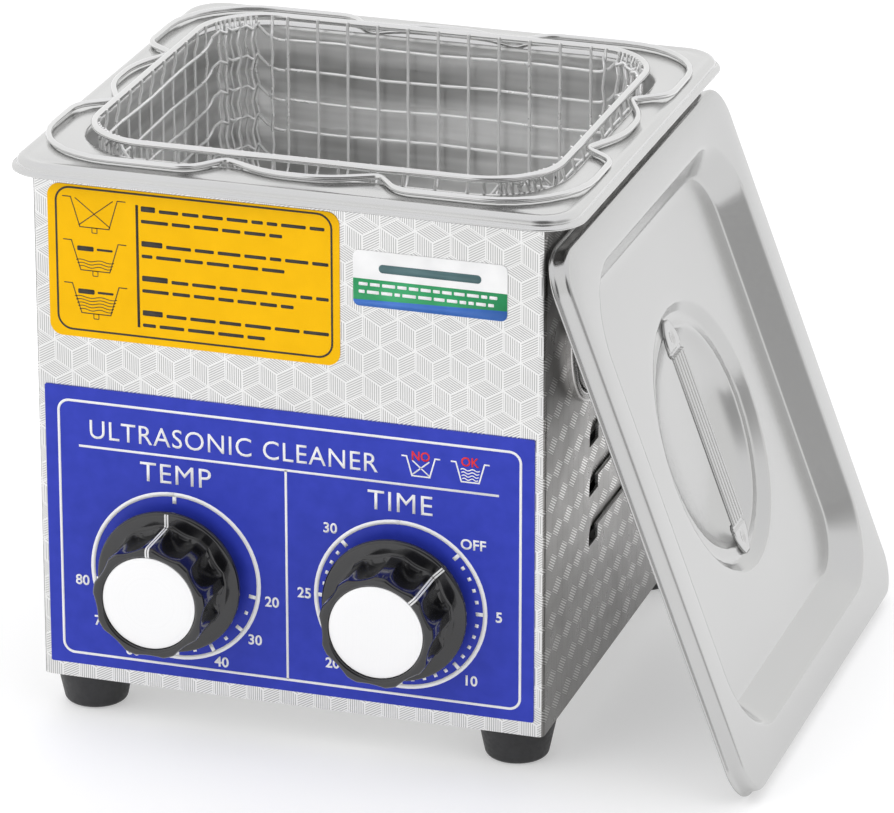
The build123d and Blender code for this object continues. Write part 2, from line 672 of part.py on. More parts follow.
BULB_R = 3.0
BULB_X = -46.0
BULB_L = 50.0
CAPILLARY_R = 0.8
BULB_Z = TANK_UNDER - BULB_R - GAP
CASE_BACK = FRONT_FACE + SHEET + CONTROL_DEPTH
with BuildPart() as sensor_bulb:
    with BuildSketch(front(-BULB_L / 2)):
        with Locations((BULB_X, BULB_Z)):
            Circle(BULB_R)
    extrude(amount=-BULB_L)
    fillet(sensor_bulb.edges().filter_by(GeomType.CIRCLE), radius=1.5)
    with BuildLine() as route:
        FilletPolyline(
            (CENTRE_X + BULB_X, CENTRE_Y - BULB_L / 2 + 2, BULB_Z),
            (CENTRE_X + BULB_X, CENTRE_Y - BULB_L / 2 - 14, BULB_Z),
            (CENTRE_X + BULB_X + 4, CENTRE_Y - 40, KNOB_Z + 34),
            (CENTRE_X + BULB_X + 4, CENTRE_Y + CASE_BACK + 14, KNOB_Z + 6),
            (CENTRE_X + BULB_X + 4, CENTRE_Y + CASE_BACK, KNOB_Z + 6),
            radius=5,
        )
    with BuildSketch(Plane(origin=route.line @ 0, z_dir=route.line % 0)):
        Circle(CAPILLARY_R)
    sweep()
finish(sensor_bulb, "sensor_bulb")
with BuildPart() as bulb_clips:
    for clip_y in (-12, 12):
        with BuildSketch(front(clip_y - 3)):
            with Locations((BULB_X, BULB_Z + 1)):
                Rectangle(2 * BULB_R + 8, 2 * BULB_R + 1.2)
            with Locations((BULB_X, BULB_Z)):
                Circle(BULB_R, mode=Mode.SUBTRACT)
            with Locations((BULB_X, TANK_UNDER + 5)):
                Rectangle(40, 10, mode=Mode.SUBTRACT)
        extrude(amount=-6)
finish(bulb_clips, "bulb_clips")

# ---- generator board -------------------------------------------------------------------
BOARD_W, BOARD_D, BOARD_T = 96.0, 72.0, 1.6
BOARD_Y = 14.0
STANDOFF_H = 8.0
BOARD_Z = BASE_TOP + STANDOFF_H
BOARD_TOP = BOARD_Z + BOARD_T
BOARD_SPOTS = [(sx * (BOARD_W / 2 - 5), BOARD_Y + sy * (BOARD_D / 2 - 5)) for sx in (-1, 1) for sy in (-1, 1)]
plate("generator_board", level(BOARD_Z), -BOARD_W / 2, BOARD_W / 2, BOARD_Y - BOARD_D / 2, BOARD_Y + BOARD_D / 2,
      BOARD_T, 2, holes=[(x, y, 1.6) for x, y in BOARD_SPOTS])
with BuildPart() as board_standoffs:
    with BuildSketch(level(BASE_TOP)):
        with Locations(*BOARD_SPOTS):
            RegularPolygon(3, 6, major_radius=False)
            Circle(1.3, mode=Mode.SUBTRACT)
    extrude(amount=STANDOFF_H)
finish(board_standoffs, "board_standoffs")
screws("board_screws", level(BOARD_TOP), BOARD_SPOTS, 2.8, 1.6, 1.25, 6)

SINK_X, SINK_W, SINK_D, SINK_H = -30.0, 20.0, 50.0, 24.0
with BuildPart() as heat_sink:
    with BuildSketch(level(BOARD_TOP)):
        with Locations((SINK_X, BOARD_Y)):
            Rectangle(SINK_W, SINK_D)
            with Locations((-1.8, 0)):
                with GridLocations(0, 6.0, 1, 8):
                    Rectangle(SINK_W - 3.6, 3.4, mode=Mode.SUBTRACT)
    extrude(amount=SINK_H)
finish(heat_sink, "heat_sink")
with BuildPart() as power_transistors:
    for ty in (-14, 14):
        with BuildSketch(level(BOARD_TOP + 5)):
            with Locations((SINK_X + SINK_W / 2 + 2.4, BOARD_Y + ty)):
                Rectangle(4.6, 15)
        extrude(amount=16)
        with BuildSketch(level(BOARD_TOP)):
            with Locations((SINK_X + SINK_W / 2 + 2.4, BOARD_Y + ty)):
                with GridLocations(0, 5, 1, 3):
                    Rectangle(0.8, 1.2)
        extrude(amount=5)
finish(power_transistors, "power_transistors")
with BuildPart() as ferrite_transformer:
    with BuildSketch(level(BOARD_TOP)):
        with Locations((22, BOARD_Y + 12)):
            Rectangle(30, 26)
    extrude(amount=22)
    with BuildSketch(level(BOARD_TOP + 4)):
        with Locations((22, BOARD_Y + 12)):
            RectangleRounded(24, 32, 4)
    extrude(amount=14)
finish(ferrite_transformer, "ferrite_transformer")
with BuildPart() as tuning_coil:
    with BuildSketch(level(BOARD_TOP)):
        with Locations((-4, BOARD_Y + 20)):
            Circle(8)
            Circle(3.5, mode=Mode.SUBTRACT)
    extrude(amount=8)
finish(tuning_coil, "tuning_coil")
with BuildPart() as smoothing_capacitors:
    with BuildSketch(level(BOARD_TOP)):
        with Locations((14, BOARD_Y - 18), (34, BOARD_Y - 18)):
            Circle(8)
    extrude(amount=24)
    fillet(smoothing_capacitors.faces().sort_by(Axis.Z)[-2:].edges(), radius=1)
finish(smoothing_capacitors, "smoothing_capacitors")
plate("board_fuse", front(BOARD_Y - 30), -14, 8, BOARD_TOP, BOARD_TOP + 7, 6, 1.5)
with BuildPart() as terminal_block:
    with BuildSketch(level(BOARD_TOP)):
        with Locations((-6, BOARD_Y - 18)):
            Rectangle(16, 9)
    extrude(amount=11)
finish(terminal_block, "terminal_block")

# ---- fan and mains inlet on the rear panel ---------------------------------------------
FAN_BORE_R = 28.5
FAN_HUB_R = 12.0
FAN_BLADES = 7
PITCH = math.radians(38)           # of the fan's blades
FAN_FRONT = REAR_INNER - FAN_T
SPINDLE_R = 1.5
with BuildPart() as fan_frame:
    with BuildSketch(rear(FAN_FRONT)):
        with Locations((-FAN_X, FAN_Z)):
            RectangleRounded(FAN_SIZE, FAN_SIZE, 4)
            Circle(FAN_BORE_R, mode=Mode.SUBTRACT)
            with GridLocations(2 * FAN_HOLE, 2 * FAN_HOLE, 2, 2):
                Circle(1.4, mode=Mode.SUBTRACT)
    extrude(amount=FAN_T)
    with BuildSketch(rear(FAN_FRONT)):
        with Locations((-FAN_X, FAN_Z)):
            Rectangle(2 * FAN_BORE_R + 1, 3.5)
            Rectangle(3.5, 2 * FAN_BORE_R + 1)
            Circle(FAN_HUB_R)
            Circle(SPINDLE_R + FIT, mode=Mode.SUBTRACT)
    extrude(amount=2)
    with BuildSketch(rear(FAN_FRONT)):
        with Locations((-FAN_X, FAN_Z)):
            Circle(3.5)
            Circle(SPINDLE_R + FIT, mode=Mode.SUBTRACT)
    extrude(amount=6)
finish(fan_frame, "fan_frame")
with BuildPart() as fan_rotor:
    with BuildSketch(rear(FAN_FRONT + 3)):
        with Locations((-FAN_X, FAN_Z)):
            Circle(FAN_HUB_R)
    extrude(amount=10)
    with BuildSketch(rear(FAN_FRONT + 3)):
        with Locations((-FAN_X, FAN_Z)):
            Circle(FAN_HUB_R - 1.2)
    extrude(amount=8.8, mode=Mode.SUBTRACT)
    with BuildSketch(rear(FAN_FRONT + 1)):
        with Locations((-FAN_X, FAN_Z)):
            Circle(SPINDLE_R)
    extrude(amount=11)
    blade_r = (FAN_HUB_R + FAN_BORE_R) / 2
    for blade in range(FAN_BLADES):
        turn = 2 * math.pi * blade / FAN_BLADES
        blade_plane = Plane(
            origin=(
                CENTRE_X + FAN_X + (FAN_HUB_R - 0.6) * math.cos(turn),
                CENTRE_Y + FAN_FRONT + 8,
                FAN_Z + (FAN_HUB_R - 0.6) * math.sin(turn),
            ),
            x_dir=(-math.sin(turn) * math.cos(PITCH), -math.sin(PITCH), math.cos(turn) * math.cos(PITCH)),
            z_dir=(math.cos(turn), 0, math.sin(turn)),
        )
        with BuildSketch(blade_plane):
            Rectangle(10, 1.0)
        extrude(amount=FAN_BORE_R - 1.2 - FAN_HUB_R)
finish(fan_rotor, "fan_rotor")
screws("fan_screws", rear(REAR_FACE), [(-FAN_X + sx * FAN_HOLE, FAN_Z + sz * FAN_HOLE) for sx in (-1, 1) for sz in (-1, 1)],
       2.8, 1.5, 1.2, 12)

INLET_T = 2.0
INLET_BODY_D = 22.0
SOCKET_W, SOCKET_H, SOCKET_DEPTH = 24.4, 16.4, 17.0
with BuildPart() as mains_inlet:
    with BuildSketch(rear(REAR_FACE)):
        with Locations((-INLET_X, INLET_Z)):
            SlotOverall(50, 24)
            with GridLocations(2 * INLET_EAR, 0, 2, 1):
                Circle(1.6, mode=Mode.SUBTRACT)
    extrude(amount=INLET_T)
    with BuildSketch(rear(REAR_FACE)):
        with Locations((-INLET_X, INLET_Z)):
            RectangleRounded(27.6, 20, 2.5)
    extrude(amount=-INLET_BODY_D)
    with BuildSketch(rear(REAR_FACE + INLET_T)):
        with Locations((-INLET_X, INLET_Z)):
            RectangleRounded(SOCKET_W, SOCKET_H, 3)
    extrude(amount=-SOCKET_DEPTH, mode=Mode.SUBTRACT)
    with BuildSketch(rear(REAR_FACE + INLET_T - SOCKET_DEPTH)):
        with Locations((-INLET_X, INLET_Z + 2), (-INLET_X - 7, INLET_Z - 2), (-INLET_X + 7, INLET_Z - 2)):
            Rectangle(2, 4)
    extrude(amount=-INLET_BODY_D, mode=Mode.SUBTRACT)
finish(mains_inlet, "mains_inlet")
with BuildPart() as inlet_pins:
    with BuildSketch(rear(REAR_FACE + INLET_T - 1.5)):
        with Locations((-INLET_X, INLET_Z + 2), (-INLET_X - 7, INLET_Z - 2), (-INLET_X + 7, INLET_Z - 2)):
            Rectangle(2, 4)
    extrude(amount=-INLET_BODY_D - 8)
finish(inlet_pins, "inlet_pins")
screws("inlet_screws", rear(REAR_FACE + INLET_T), [(-INLET_X + sx * INLET_EAR, INLET_Z) for sx in (-1, 1)],
       2.8, 0.8, 1.3, 7)

# ---- basket ----------------------------------------------------------------------------
def rod_ring(name, z, rod_r, corners, radii):
    """A closed ring of round rod that follows a polyline with rounded corners."""
    with BuildPart() as piece:
        with BuildLine() as path:
            FilletPolyline(*[(CENTRE_X + x, CENTRE_Y + y, z) for x, y in corners], radius=radii, close=True)
        start = path.edges().filter_by(GeomType.LINE).sort_by(SortBy.LENGTH)[-1]
        with BuildSketch(Plane(origin=start @ 0.5, z_dir=start % 0.5)):
            Circle(rod_r)
        sweep(path=path.wires()[0])
    finish(piece, name)


rim_x, rim_y = RIM_W / 2, RIM_D / 2
rod_ring("basket_rim", RIM_Z, RIM_ROD_R, [(-rim_x, -rim_y), (rim_x, -rim_y), (rim_x, rim_y), (-rim_x, rim_y)], RIM_R)

# The hanger ring touches the rim at two welds on each side and bows out between them.
WELD_OUT = math.sqrt((RIM_ROD_R + HANGER_ROD_R) ** 2 - (RIM_Z - HANGER_Z) ** 2)
WELD_HALF = 24.0                 # each weld's distance from the middle of its side
BOW_OUT = 7.5                    # the middle bows
CORNER_OUT = 10.5                # the corner loops
BOW_RUN = 8.0
WELD_BEND, BOW_BEND, LOOP_BEND, CORNER_BEND = 2.5, 12.0, 11.0, 27.0
weld_x, weld_y = rim_x + WELD_OUT, rim_y + WELD_OUT


def quarter(edge_x, edge_y):
    """Hanger points of one side of the rim and of the corner loop after it."""
    return [
        (-WELD_HALF, edge_y),
        (-WELD_HALF + BOW_RUN, edge_y + BOW_OUT),
        (WELD_HALF - BOW_RUN, edge_y + BOW_OUT),
        (WELD_HALF, edge_y),
        (WELD_HALF + BOW_RUN, edge_y + CORNER_OUT),
        (edge_x + CORNER_OUT, edge_y + CORNER_OUT),
        (edge_x + CORNER_OUT, WELD_HALF + BOW_RUN),
    ]


long_side = quarter(weld_x, weld_y)
short_side = quarter(weld_y, weld_x)
hanger = [(x, y) for x, y in long_side]
hanger += [(y, -x) for x, y in short_side]
hanger += [(-x, -y) for x, y in long_side]
hanger += [(-y, x) for x, y in short_side]
hanger_radii = [WELD_BEND, BOW_BEND, BOW_BEND, WELD_BEND, LOOP_BEND, CORNER_BEND, LOOP_BEND] * 4
rod_ring("basket_hanger", HANGER_Z, HANGER_ROD_R, hanger, hanger_radii)

WALL_TOP = RIM_Z - RIM_ROD_R
flat_x, flat_y = RIM_W - 2 * RIM_R, RIM_D - 2 * RIM_R


def grille(plane, width, bottom, top):
    """A flat panel of square mesh, its wires merged in one sheet."""
    height = top - bottom
    columns = int((width - MESH_WIRE) // MESH_PITCH)
    rows = int((height - MESH_WIRE) // MESH_PITCH)
    with BuildPart() as panel:
        with BuildSketch(plane):
            with Locations((0, bottom + height / 2)):
                Rectangle(width, height)
                with GridLocations(MESH_PITCH, MESH_PITCH, columns, rows):
                    Rectangle(MESH_PITCH - MESH_WIRE, MESH_PITCH - MESH_WIRE, mode=Mode.SUBTRACT)
        extrude(amount=MESH_WIRE / 2, both=True)
    return panel.part


WALL_BOTTOM = BASKET_FLOOR + MESH_WIRE / 2
walls = [grille(front(sign * rim_y), flat_x, WALL_BOTTOM, WALL_TOP) for sign in (-1, 1)]
walls += [grille(side(sign * rim_x), flat_y, WALL_BOTTOM, WALL_TOP) for sign in (-1, 1)]
with BuildPart() as basket_walls:
    add(walls)
finish(basket_walls, "basket_walls")
with BuildPart() as basket_floor:
    with BuildSketch(level(BASKET_FLOOR)):
        RectangleRounded(RIM_W + MESH_WIRE, RIM_D + MESH_WIRE, RIM_R + MESH_WIRE / 2)
        with GridLocations(MESH_PITCH, MESH_PITCH, 13, 11):
            Rectangle(MESH_PITCH - MESH_WIRE, MESH_PITCH - MESH_WIRE, mode=Mode.SUBTRACT)
    extrude(amount=MESH_WIRE / 2, both=True)
finish(basket_floor, "basket_floor")
with BuildPart() as basket_corners:
    with BuildSketch(level(WALL_BOTTOM)):
        RectangleRounded(RIM_W + MESH_WIRE, RIM_D + MESH_WIRE, RIM_R + MESH_WIRE / 2)
        RectangleRounded(RIM_W - MESH_WIRE, RIM_D - MESH_WIRE, RIM_R - MESH_WIRE / 2, mode=Mode.SUBTRACT)
        Rectangle(flat_x, 2 * RIM_D, mode=Mode.SUBTRACT)
        Rectangle(2 * RIM_W, flat_y, mode=Mode.SUBTRACT)
    extrude(amount=WALL_TOP - WALL_BOTTOM)
finish(basket_corners, "basket_corners")

# ---- lid -------------------------------------------------------------------------------
LID_PLANE = Plane(
    origin=(CENTRE_X + LID_X, CENTRE_Y + LID_Y, LID_Z),
    x_dir=(math.cos(TILT), 0, -math.sin(TILT)),
    z_dir=(math.sin(TILT), 0, math.cos(TILT)),
)
recess_w = LID_W - 2 * LID_RIM
recess_d = LID_D - 2 * LID_RIM
ledge = LID_RECESS + STEP_DEPTH
with BuildPart() as lid_pan:
    with BuildSketch(LID_PLANE):
        RectangleRounded(LID_W, LID_D, LID_R)
    extrude(amount=-LID_SHEET)
    with BuildSketch(LID_PLANE):
        RectangleRounded(LID_W, LID_D, LID_R)
        RectangleRounded(LID_W - 2 * LID_SHEET, LID_D - 2 * LID_SHEET, LID_R - LID_SHEET, mode=Mode.SUBTRACT)
    extrude(amount=-LID_SKIRT)
    with BuildSketch(LID_PLANE.offset(-LID_SKIRT)):
        RectangleRounded(LID_W + 2 * LID_LIP, LID_D + 2 * LID_LIP, LID_R + LID_LIP)
        RectangleRounded(LID_W - 2 * LID_SHEET, LID_D - 2 * LID_SHEET, LID_R - LID_SHEET, mode=Mode.SUBTRACT)
    extrude(amount=LID_SHEET)
    with BuildSketch(LID_PLANE.offset(-LID_SHEET)):
        RectangleRounded(recess_w, recess_d, LID_RECESS_R)
    extrude(amount=-LID_RECESS, taper=LID_SLOPE)
    with BuildSketch(LID_PLANE.offset(-LID_RECESS)):
        Circle(STEP_R_TOP + LID_SHEET / 2)
    extrude(amount=-STEP_DEPTH, taper=STEP_SLOPE)
    with BuildSketch(LID_PLANE.offset(-ledge)):
        Circle(STEP_R_TOP - STEP_DEPTH + LID_SHEET / 2)
    extrude(amount=-LID_SHEET)
    with BuildSketch(LID_PLANE.offset(-ledge)):
        Circle(BOWL_R_TOP + LID_SHEET / 2)
    extrude(amount=-BOWL_DEPTH - LID_SHEET, taper=BOWL_TAPER)
    with BuildSketch(LID_PLANE):
        RectangleRounded(recess_w, recess_d, LID_RECESS_R)
    extrude(amount=-LID_RECESS, taper=LID_SLOPE, mode=Mode.SUBTRACT)
    with BuildSketch(LID_PLANE.offset(-LID_RECESS)):
        Circle(STEP_R_TOP - LID_SHEET / 2)
    extrude(amount=-STEP_DEPTH, taper=STEP_SLOPE, mode=Mode.SUBTRACT)
    with BuildSketch(LID_PLANE.offset(-ledge)):
        Circle(BOWL_R_TOP - LID_SHEET / 2)
    extrude(amount=-BOWL_DEPTH, taper=BOWL_TAPER, mode=Mode.SUBTRACT)
finish(lid_pan, "lid_pan")

rib_length = 2 * STRIP_RIBBED
with BuildPart() as lid_handle:
    with BuildSketch(LID_PLANE.offset(-ledge)):
        SlotOverall(2 * STRIP_HALF, STRIP_W)
    extrude(amount=STRIP_T)
    with BuildSketch(LID_PLANE.offset(-ledge + STRIP_T)):
        with GridLocations(0, RIB_PITCH, 1, 3):
            RectangleRounded(rib_length, RIB_W, RIB_W / 2 - 0.05)
    extrude(amount=RIB_H)
finish(lid_handle, "lid_handle")

print("centre", round(CENTRE_X, 3), round(CENTRE_Y, 3), "lid", round(LID_X, 3), round(LID_Z, 3))
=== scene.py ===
import json
import math
import random

import bmesh
import bpy
from mathutils import Matrix, Vector


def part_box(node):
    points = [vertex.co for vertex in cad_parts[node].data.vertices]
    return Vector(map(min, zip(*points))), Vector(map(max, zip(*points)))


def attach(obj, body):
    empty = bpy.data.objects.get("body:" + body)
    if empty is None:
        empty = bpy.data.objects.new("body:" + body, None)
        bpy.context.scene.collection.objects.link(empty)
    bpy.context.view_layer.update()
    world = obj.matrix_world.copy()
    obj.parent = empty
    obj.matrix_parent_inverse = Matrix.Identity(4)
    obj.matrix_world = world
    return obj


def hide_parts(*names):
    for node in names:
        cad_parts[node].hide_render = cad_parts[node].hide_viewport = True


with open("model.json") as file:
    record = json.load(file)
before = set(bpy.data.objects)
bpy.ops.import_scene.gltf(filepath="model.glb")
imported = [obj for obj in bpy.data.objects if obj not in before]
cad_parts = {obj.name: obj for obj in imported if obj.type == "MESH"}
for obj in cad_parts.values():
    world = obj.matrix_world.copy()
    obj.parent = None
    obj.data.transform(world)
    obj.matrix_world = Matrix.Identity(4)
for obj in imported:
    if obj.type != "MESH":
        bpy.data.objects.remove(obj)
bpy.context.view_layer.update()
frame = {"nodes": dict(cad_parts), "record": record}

# ---- places, all worked out from the frame ----
MM = 0.001
TANK_LO, TANK_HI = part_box("tank")
CENTRE = Vector(((TANK_LO.x + TANK_HI.x) / 2, (TANK_LO.y + TANK_HI.y) / 2, 0))


def local(corner):
    """A point of the frame as millimetres from the cleaner's centre line."""
    return (corner - CENTRE) / MM


def place(x, y, z):
    """Millimetres from the cleaner's centre line as a point of the frame."""
    return CENTRE + Vector((x, y, z)) * MM


def span(node):
    """A node's lowest and highest corners in the same millimetres."""
    return [local(corner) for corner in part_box(node)]


def put(name, data):
    """A new object, linked to the scene."""
    thing = bpy.data.objects.new(name, data)
    bpy.context.scene.collection.objects.link(thing)
    return thing


FLANGE = local(TANK_HI)
PANEL_LO, PANEL_HI = span("control_panel")
RIM_LO, RIM_HI = span("basket_rim")
HANGER_LO, HANGER_HI = span("basket_hanger")
FLOOR_LO, FLOOR_HI = span("basket_floor")
LID_LO, LID_HI = span("lid_pan")


# ---- node materials ----
class Nodes:
    """A short way of writing a material's nodes."""

    def __init__(self, name, colour, metallic=0.0, roughness=0.4):
        self.material = bpy.data.materials.new(name)
        self.material.use_nodes = True
        self.tree = self.material.node_tree
        self.shader = self.tree.nodes["Principled BSDF"]
        self.set("Base Color", (*colour, 1))
        self.set("Metallic", metallic)
        self.set("Roughness", roughness)
        self.coords = self.add("ShaderNodeTexCoord").outputs["Object"]

    def add(self, kind, **settings):
        node = self.tree.nodes.new(kind)
        for key, value in settings.items():
            setattr(node, key, value)
        return node

    def link(self, source, target):
        if isinstance(source, bpy.types.NodeSocket):
            self.tree.links.new(source, target)
        else:
            target.default_value = source

    def set(self, socket, value):
        self.link(value, self.shader.inputs[socket])

    def math(self, operation, a, b=0.0, c=0.0):
        node = self.add("ShaderNodeMath", operation=operation)
        for socket, value in zip(node.inputs, (a, b, c)):
            self.link(value, socket)
        return node.outputs[0]

    def two(self, a, share_a, b, share_b):
        """Each of two values times its share, added up."""
        return self.math("ADD", self.math("MULTIPLY", a, share_a), self.math("MULTIPLY", b, share_b))

    def split(self, vector):
        """A vector's x, y and z."""
        node = self.add("ShaderNodeSeparateXYZ")
        self.link(vector, node.inputs[0])
        return node.outputs

    def seen_from(self, centre):
        """The coordinates counted from another point."""
        node = self.add("ShaderNodeVectorMath", operation="SUBTRACT")
        self.link(self.coords, node.inputs[0])
        node.inputs[1].default_value = centre
        return node.outputs[0]

    def stretched(self, scale, turn=(0, 0, 0)):
        mapping = self.add("ShaderNodeMapping")
        self.link(self.coords, mapping.inputs["Vector"])
        mapping.inputs["Scale"].default_value = scale
        mapping.inputs["Rotation"].default_value = turn
        return mapping.outputs["Vector"]

    def noise(self, scale, detail=3.0, vector=None, rough=0.5):
        node = self.add("ShaderNodeTexNoise")
        self.link(self.coords if vector is None else vector, node.inputs["Vector"])
        node.inputs["Scale"].default_value = scale
        node.inputs["Detail"].default_value = detail
        node.inputs["Roughness"].default_value = rough
        return node.outputs["Fac"]

    def spread(self, value, low, high, start=0.3, stop=0.7):
        node = self.add("ShaderNodeMapRange")
        self.link(value, node.inputs["Value"])
        node.inputs["From Min"].default_value = start
        node.inputs["From Max"].default_value = stop
        node.inputs["To Min"].default_value = low
        node.inputs["To Max"].default_value = high
        return node.outputs["Result"]

    def tint(self, value, dark, light):
        node = self.add("ShaderNodeMix", data_type="RGBA")
        self.link(value, node.inputs["Factor"])
        node.inputs["A"].default_value = (*dark, 1)
        node.inputs["B"].default_value = (*light, 1)
        return node.outputs["Result"]

    def bump(self, height, distance, strength=1.0, below=None):
        node = self.add("ShaderNodeBump")
        self.link(height, node.inputs["Height"])
        node.inputs["Distance"].default_value = distance
        node.inputs["Strength"].default_value = strength
        if below is not None:
            self.link(below, node.inputs["Normal"])
        return node.outputs["Normal"]


def grained(name, dark, light, metallic, rough, scale, grain, turn=(0, 0, 0), stretch=(1, 1, 1)):
    """A surface with cloudy colour, uneven gloss and a fine grain in its relief."""
    n = Nodes(name, light, metallic, rough[0])
    vector = n.stretched(stretch, turn)
    cloud = n.noise(scale * 0.12, 2.0)
    fine = n.noise(scale, 4.0, vector)
    n.set("Base Color", n.tint(n.spread(cloud, 0, 1), dark, light))
    n.set("Roughness", n.spread(fine, *rough))
    n.set("Normal", n.bump(fine, grain))
    return n


def steel(name, dark, light, rough, streak, turn=(0, 0, 0), relief=0.00001):
    """Stainless sheet with fine drawn or brushed streaks."""
    n = Nodes(name, light, 1.0, rough[0])
    vector = n.stretched(streak, turn)
    streaks = n.noise(60.0, 5.0, vector, 0.6)
    cloud = n.noise(9.0, 3.0)
    n.set("Base Color", n.tint(n.spread(cloud, 0, 1), dark, light))
    n.set("Roughness", n.spread(streaks, *rough))
    n.set("Normal", n.bump(streaks, relief, 0.5))
    return n


CELL = 5.4 * MM                  # half the width of one embossed cube
FRONT_HATCHES = 8.0              # embossed lines across each rhombus, front and rear
SIDE_HATCHES = 6.5               # and on the side walls
FRONT_LINE_SHADE = 0.95            # how far the painted shade of a line darkens the front
SIDE_SHADED_GROUND = 0.16               # on the side walls, the painted shade between the lines, the painted highlight that the lines of a cube's top add to it and the painted highlight that those of its two faces add
SIDE_TOP_HIGHLIGHTS = 0.80                 # what the lines of a cube's top add to it
SIDE_FACE_HIGHLIGHTS = 0.22                # and what those of its two faces add
LINE_RELIEF = 0.00004
SIDE_PAINTED_SHADE = (                    # height on the side wall as a share, and how far painted shade darkens it there
    (0.06, 0.42), (0.25, 0.58), (0.42, 0.96), (0.60, 1.0), (0.72, 0.62), (0.86, 0.34),
)


def embossed_steel(name, dark, light, shaded, rough):
    """Stainless sheet embossed with cubes, each of three hatched rhombi.

    The plane is cut by three families of parallel lines into triangles. Two triangles that
    share the edge opposite a cube's outline make a rhombus, and the edge's family says which
    way that rhombus is hatched. Light and shade are painted into the colour: on the front the
    lines are painted darker as shade; on the side walls the ground is painted dark as shade,
    the lines light as highlights, and the whole darker at the bottom and under the flange.
    """
    n = Nodes(name, light, 1.0, rough[0])
    x, y, z = n.split(n.coords)
    facing = n.split(n.add("ShaderNodeNewGeometry").outputs["True Normal"])
    sideways = n.math("GREATER_THAN", n.math("ABSOLUTE", facing["X"]), 0.6)
    across = n.two(x, n.math("SUBTRACT", 1.0, sideways), y, sideways)
    up = n.math("MULTIPLY", z, math.sqrt(0.75))
    half = n.math("MULTIPLY", across, -0.5)
    families = [
        n.math("DIVIDE", across, CELL),
        n.math("DIVIDE", n.math("ADD", half, up), CELL),
        n.math("DIVIDE", n.math("SUBTRACT", half, up), CELL),
    ]
    floors = [n.math("FLOOR", u) for u in families]
    parts = [n.math("FRACT", u) for u in families]
    total = n.math("ADD", n.math("ADD", floors[0], floors[1]), floors[2])
    points_up = n.math("GREATER_THAN", total, -1.5)
    place_in_cube = n.math("FLOORED_MODULO", n.math("SUBTRACT", floors[0], floors[1]), 3.0)
    right, is_1, is_2 = (n.math("COMPARE", place_in_cube, which, 0.25) for which in (0.0, 1.0, 2.0))
    points_down = n.math("SUBTRACT", 1.0, points_up)
    left = n.two(is_1, points_up, is_2, points_down)
    top = n.two(is_2, points_up, is_1, points_down)
    more_on_sides = 2 * math.pi * (SIDE_HATCHES - FRONT_HATCHES)
    ripples = n.math("MULTIPLY_ADD", sideways, more_on_sides, 2 * math.pi * FRONT_HATCHES)

    def hatched(hatch, other):
        """Lines across one rhombus, which stop short of its edges."""
        ripple = n.math("SINE", n.math("MULTIPLY", hatch, ripples))
        edge_a = n.math("PINGPONG", hatch, 0.5)
        edge_b = n.math("PINGPONG", other, 0.5)
        inside = n.math("MINIMUM", edge_a, edge_b)
        ripple = n.spread(ripple, 0.0, 1.0, -0.5, 0.7)
        return n.math("MULTIPLY", ripple, n.spread(inside, 0.0, 1.0, 0.02, 0.05))

    on_top = n.math("MULTIPLY", hatched(parts[2], parts[1]), top)
    on_sides = n.two(hatched(parts[0], parts[2]), left, hatched(parts[1], parts[0]), right)
    lines = n.math("ADD", on_top, on_sides)
    cloud = n.spread(n.noise(11.0, 3.0), -0.10, 0.10)
    # painted shade: on the front the embossed lines are painted darker, as shade in their grooves
    front_shade = n.math("ADD", n.math("MULTIPLY_ADD", lines, -FRONT_LINE_SHADE, 1.0), cloud)
    # painted shade and highlight: on the side walls the ground between the lines is painted dark and the
    # lines are painted light
    side_shade = n.math("ADD", n.math("MULTIPLY_ADD", on_top, SIDE_TOP_HIGHLIGHTS, SIDE_SHADED_GROUND), cloud)
    side_shade = n.math("MULTIPLY_ADD", on_sides, SIDE_FACE_HIGHLIGHTS, side_shade)
    both = n.add("ShaderNodeMix", data_type="RGBA")
    n.link(sideways, both.inputs["Factor"])
    n.link(n.tint(front_shade, dark, light), both.inputs["A"])
    # painted shade and reflection: the side walls are darkened by height, most at the bottom and under the
    # flange
    fall = n.add("ShaderNodeValToRGB")
    n.link(n.math("DIVIDE", z, FLANGE.z * MM), fall.inputs["Fac"])
    stops = fall.color_ramp.elements
    for stop, (height, tone) in ((stops[0], SIDE_PAINTED_SHADE[0]), (stops[1], SIDE_PAINTED_SHADE[-1])):
        stop.position = height
        stop.color = (tone, tone, tone, 1)
    for height, tone in SIDE_PAINTED_SHADE[1:-1]:
        stops.new(height).color = (tone, tone, tone, 1)
    toned = n.add("ShaderNodeMix", data_type="RGBA", blend_type="MULTIPLY")
    toned.inputs["Factor"].default_value = 1.0
    n.link(n.tint(side_shade, *shaded), toned.inputs["A"])
    n.link(fall.outputs["Color"], toned.inputs["B"])
    n.link(toned.outputs["Result"], both.inputs["B"])
    n.set("Base Color", both.outputs["Result"])
    n.set("Roughness", n.spread(n.noise(90.0, 3.0), *rough))
    n.set("Normal", n.bump(lines, LINE_RELIEF, 0.6))
    return n


def plastic(name, dark, light, rough, grain=0.000004, scale=900.0, coat=0.0, sheen=0.5):
    """Moulded plastic, paint or ink: faintly grained, with a clear coat where it has one."""
    n = grained(name, dark, light, 0.0, rough, scale, grain)
    n.set("Specular IOR Level", sheen)
    n.set("Coat Weight", coat)
    n.set("Coat Roughness", 0.05)
    return n


def spun(name, dark, light, rough, node):
    """A turned disc: fine rings around its centre."""
    lo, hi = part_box(node)
    n = Nodes(name, light, 1.0, rough[0])
    length = n.add("ShaderNodeVectorMath", operation="LENGTH")
    n.link(n.seen_from((lo + hi) / 2), length.inputs[0])
    rings = n.noise(1.0, 2.0, n.math("MULTIPLY", length.outputs["Value"], 4000.0))
    n.set("Base Color", n.tint(rings, dark, light))
    n.set("Roughness", n.spread(rings, *rough))
    n.set("Normal", n.bump(rings, 0.000006))
    return n


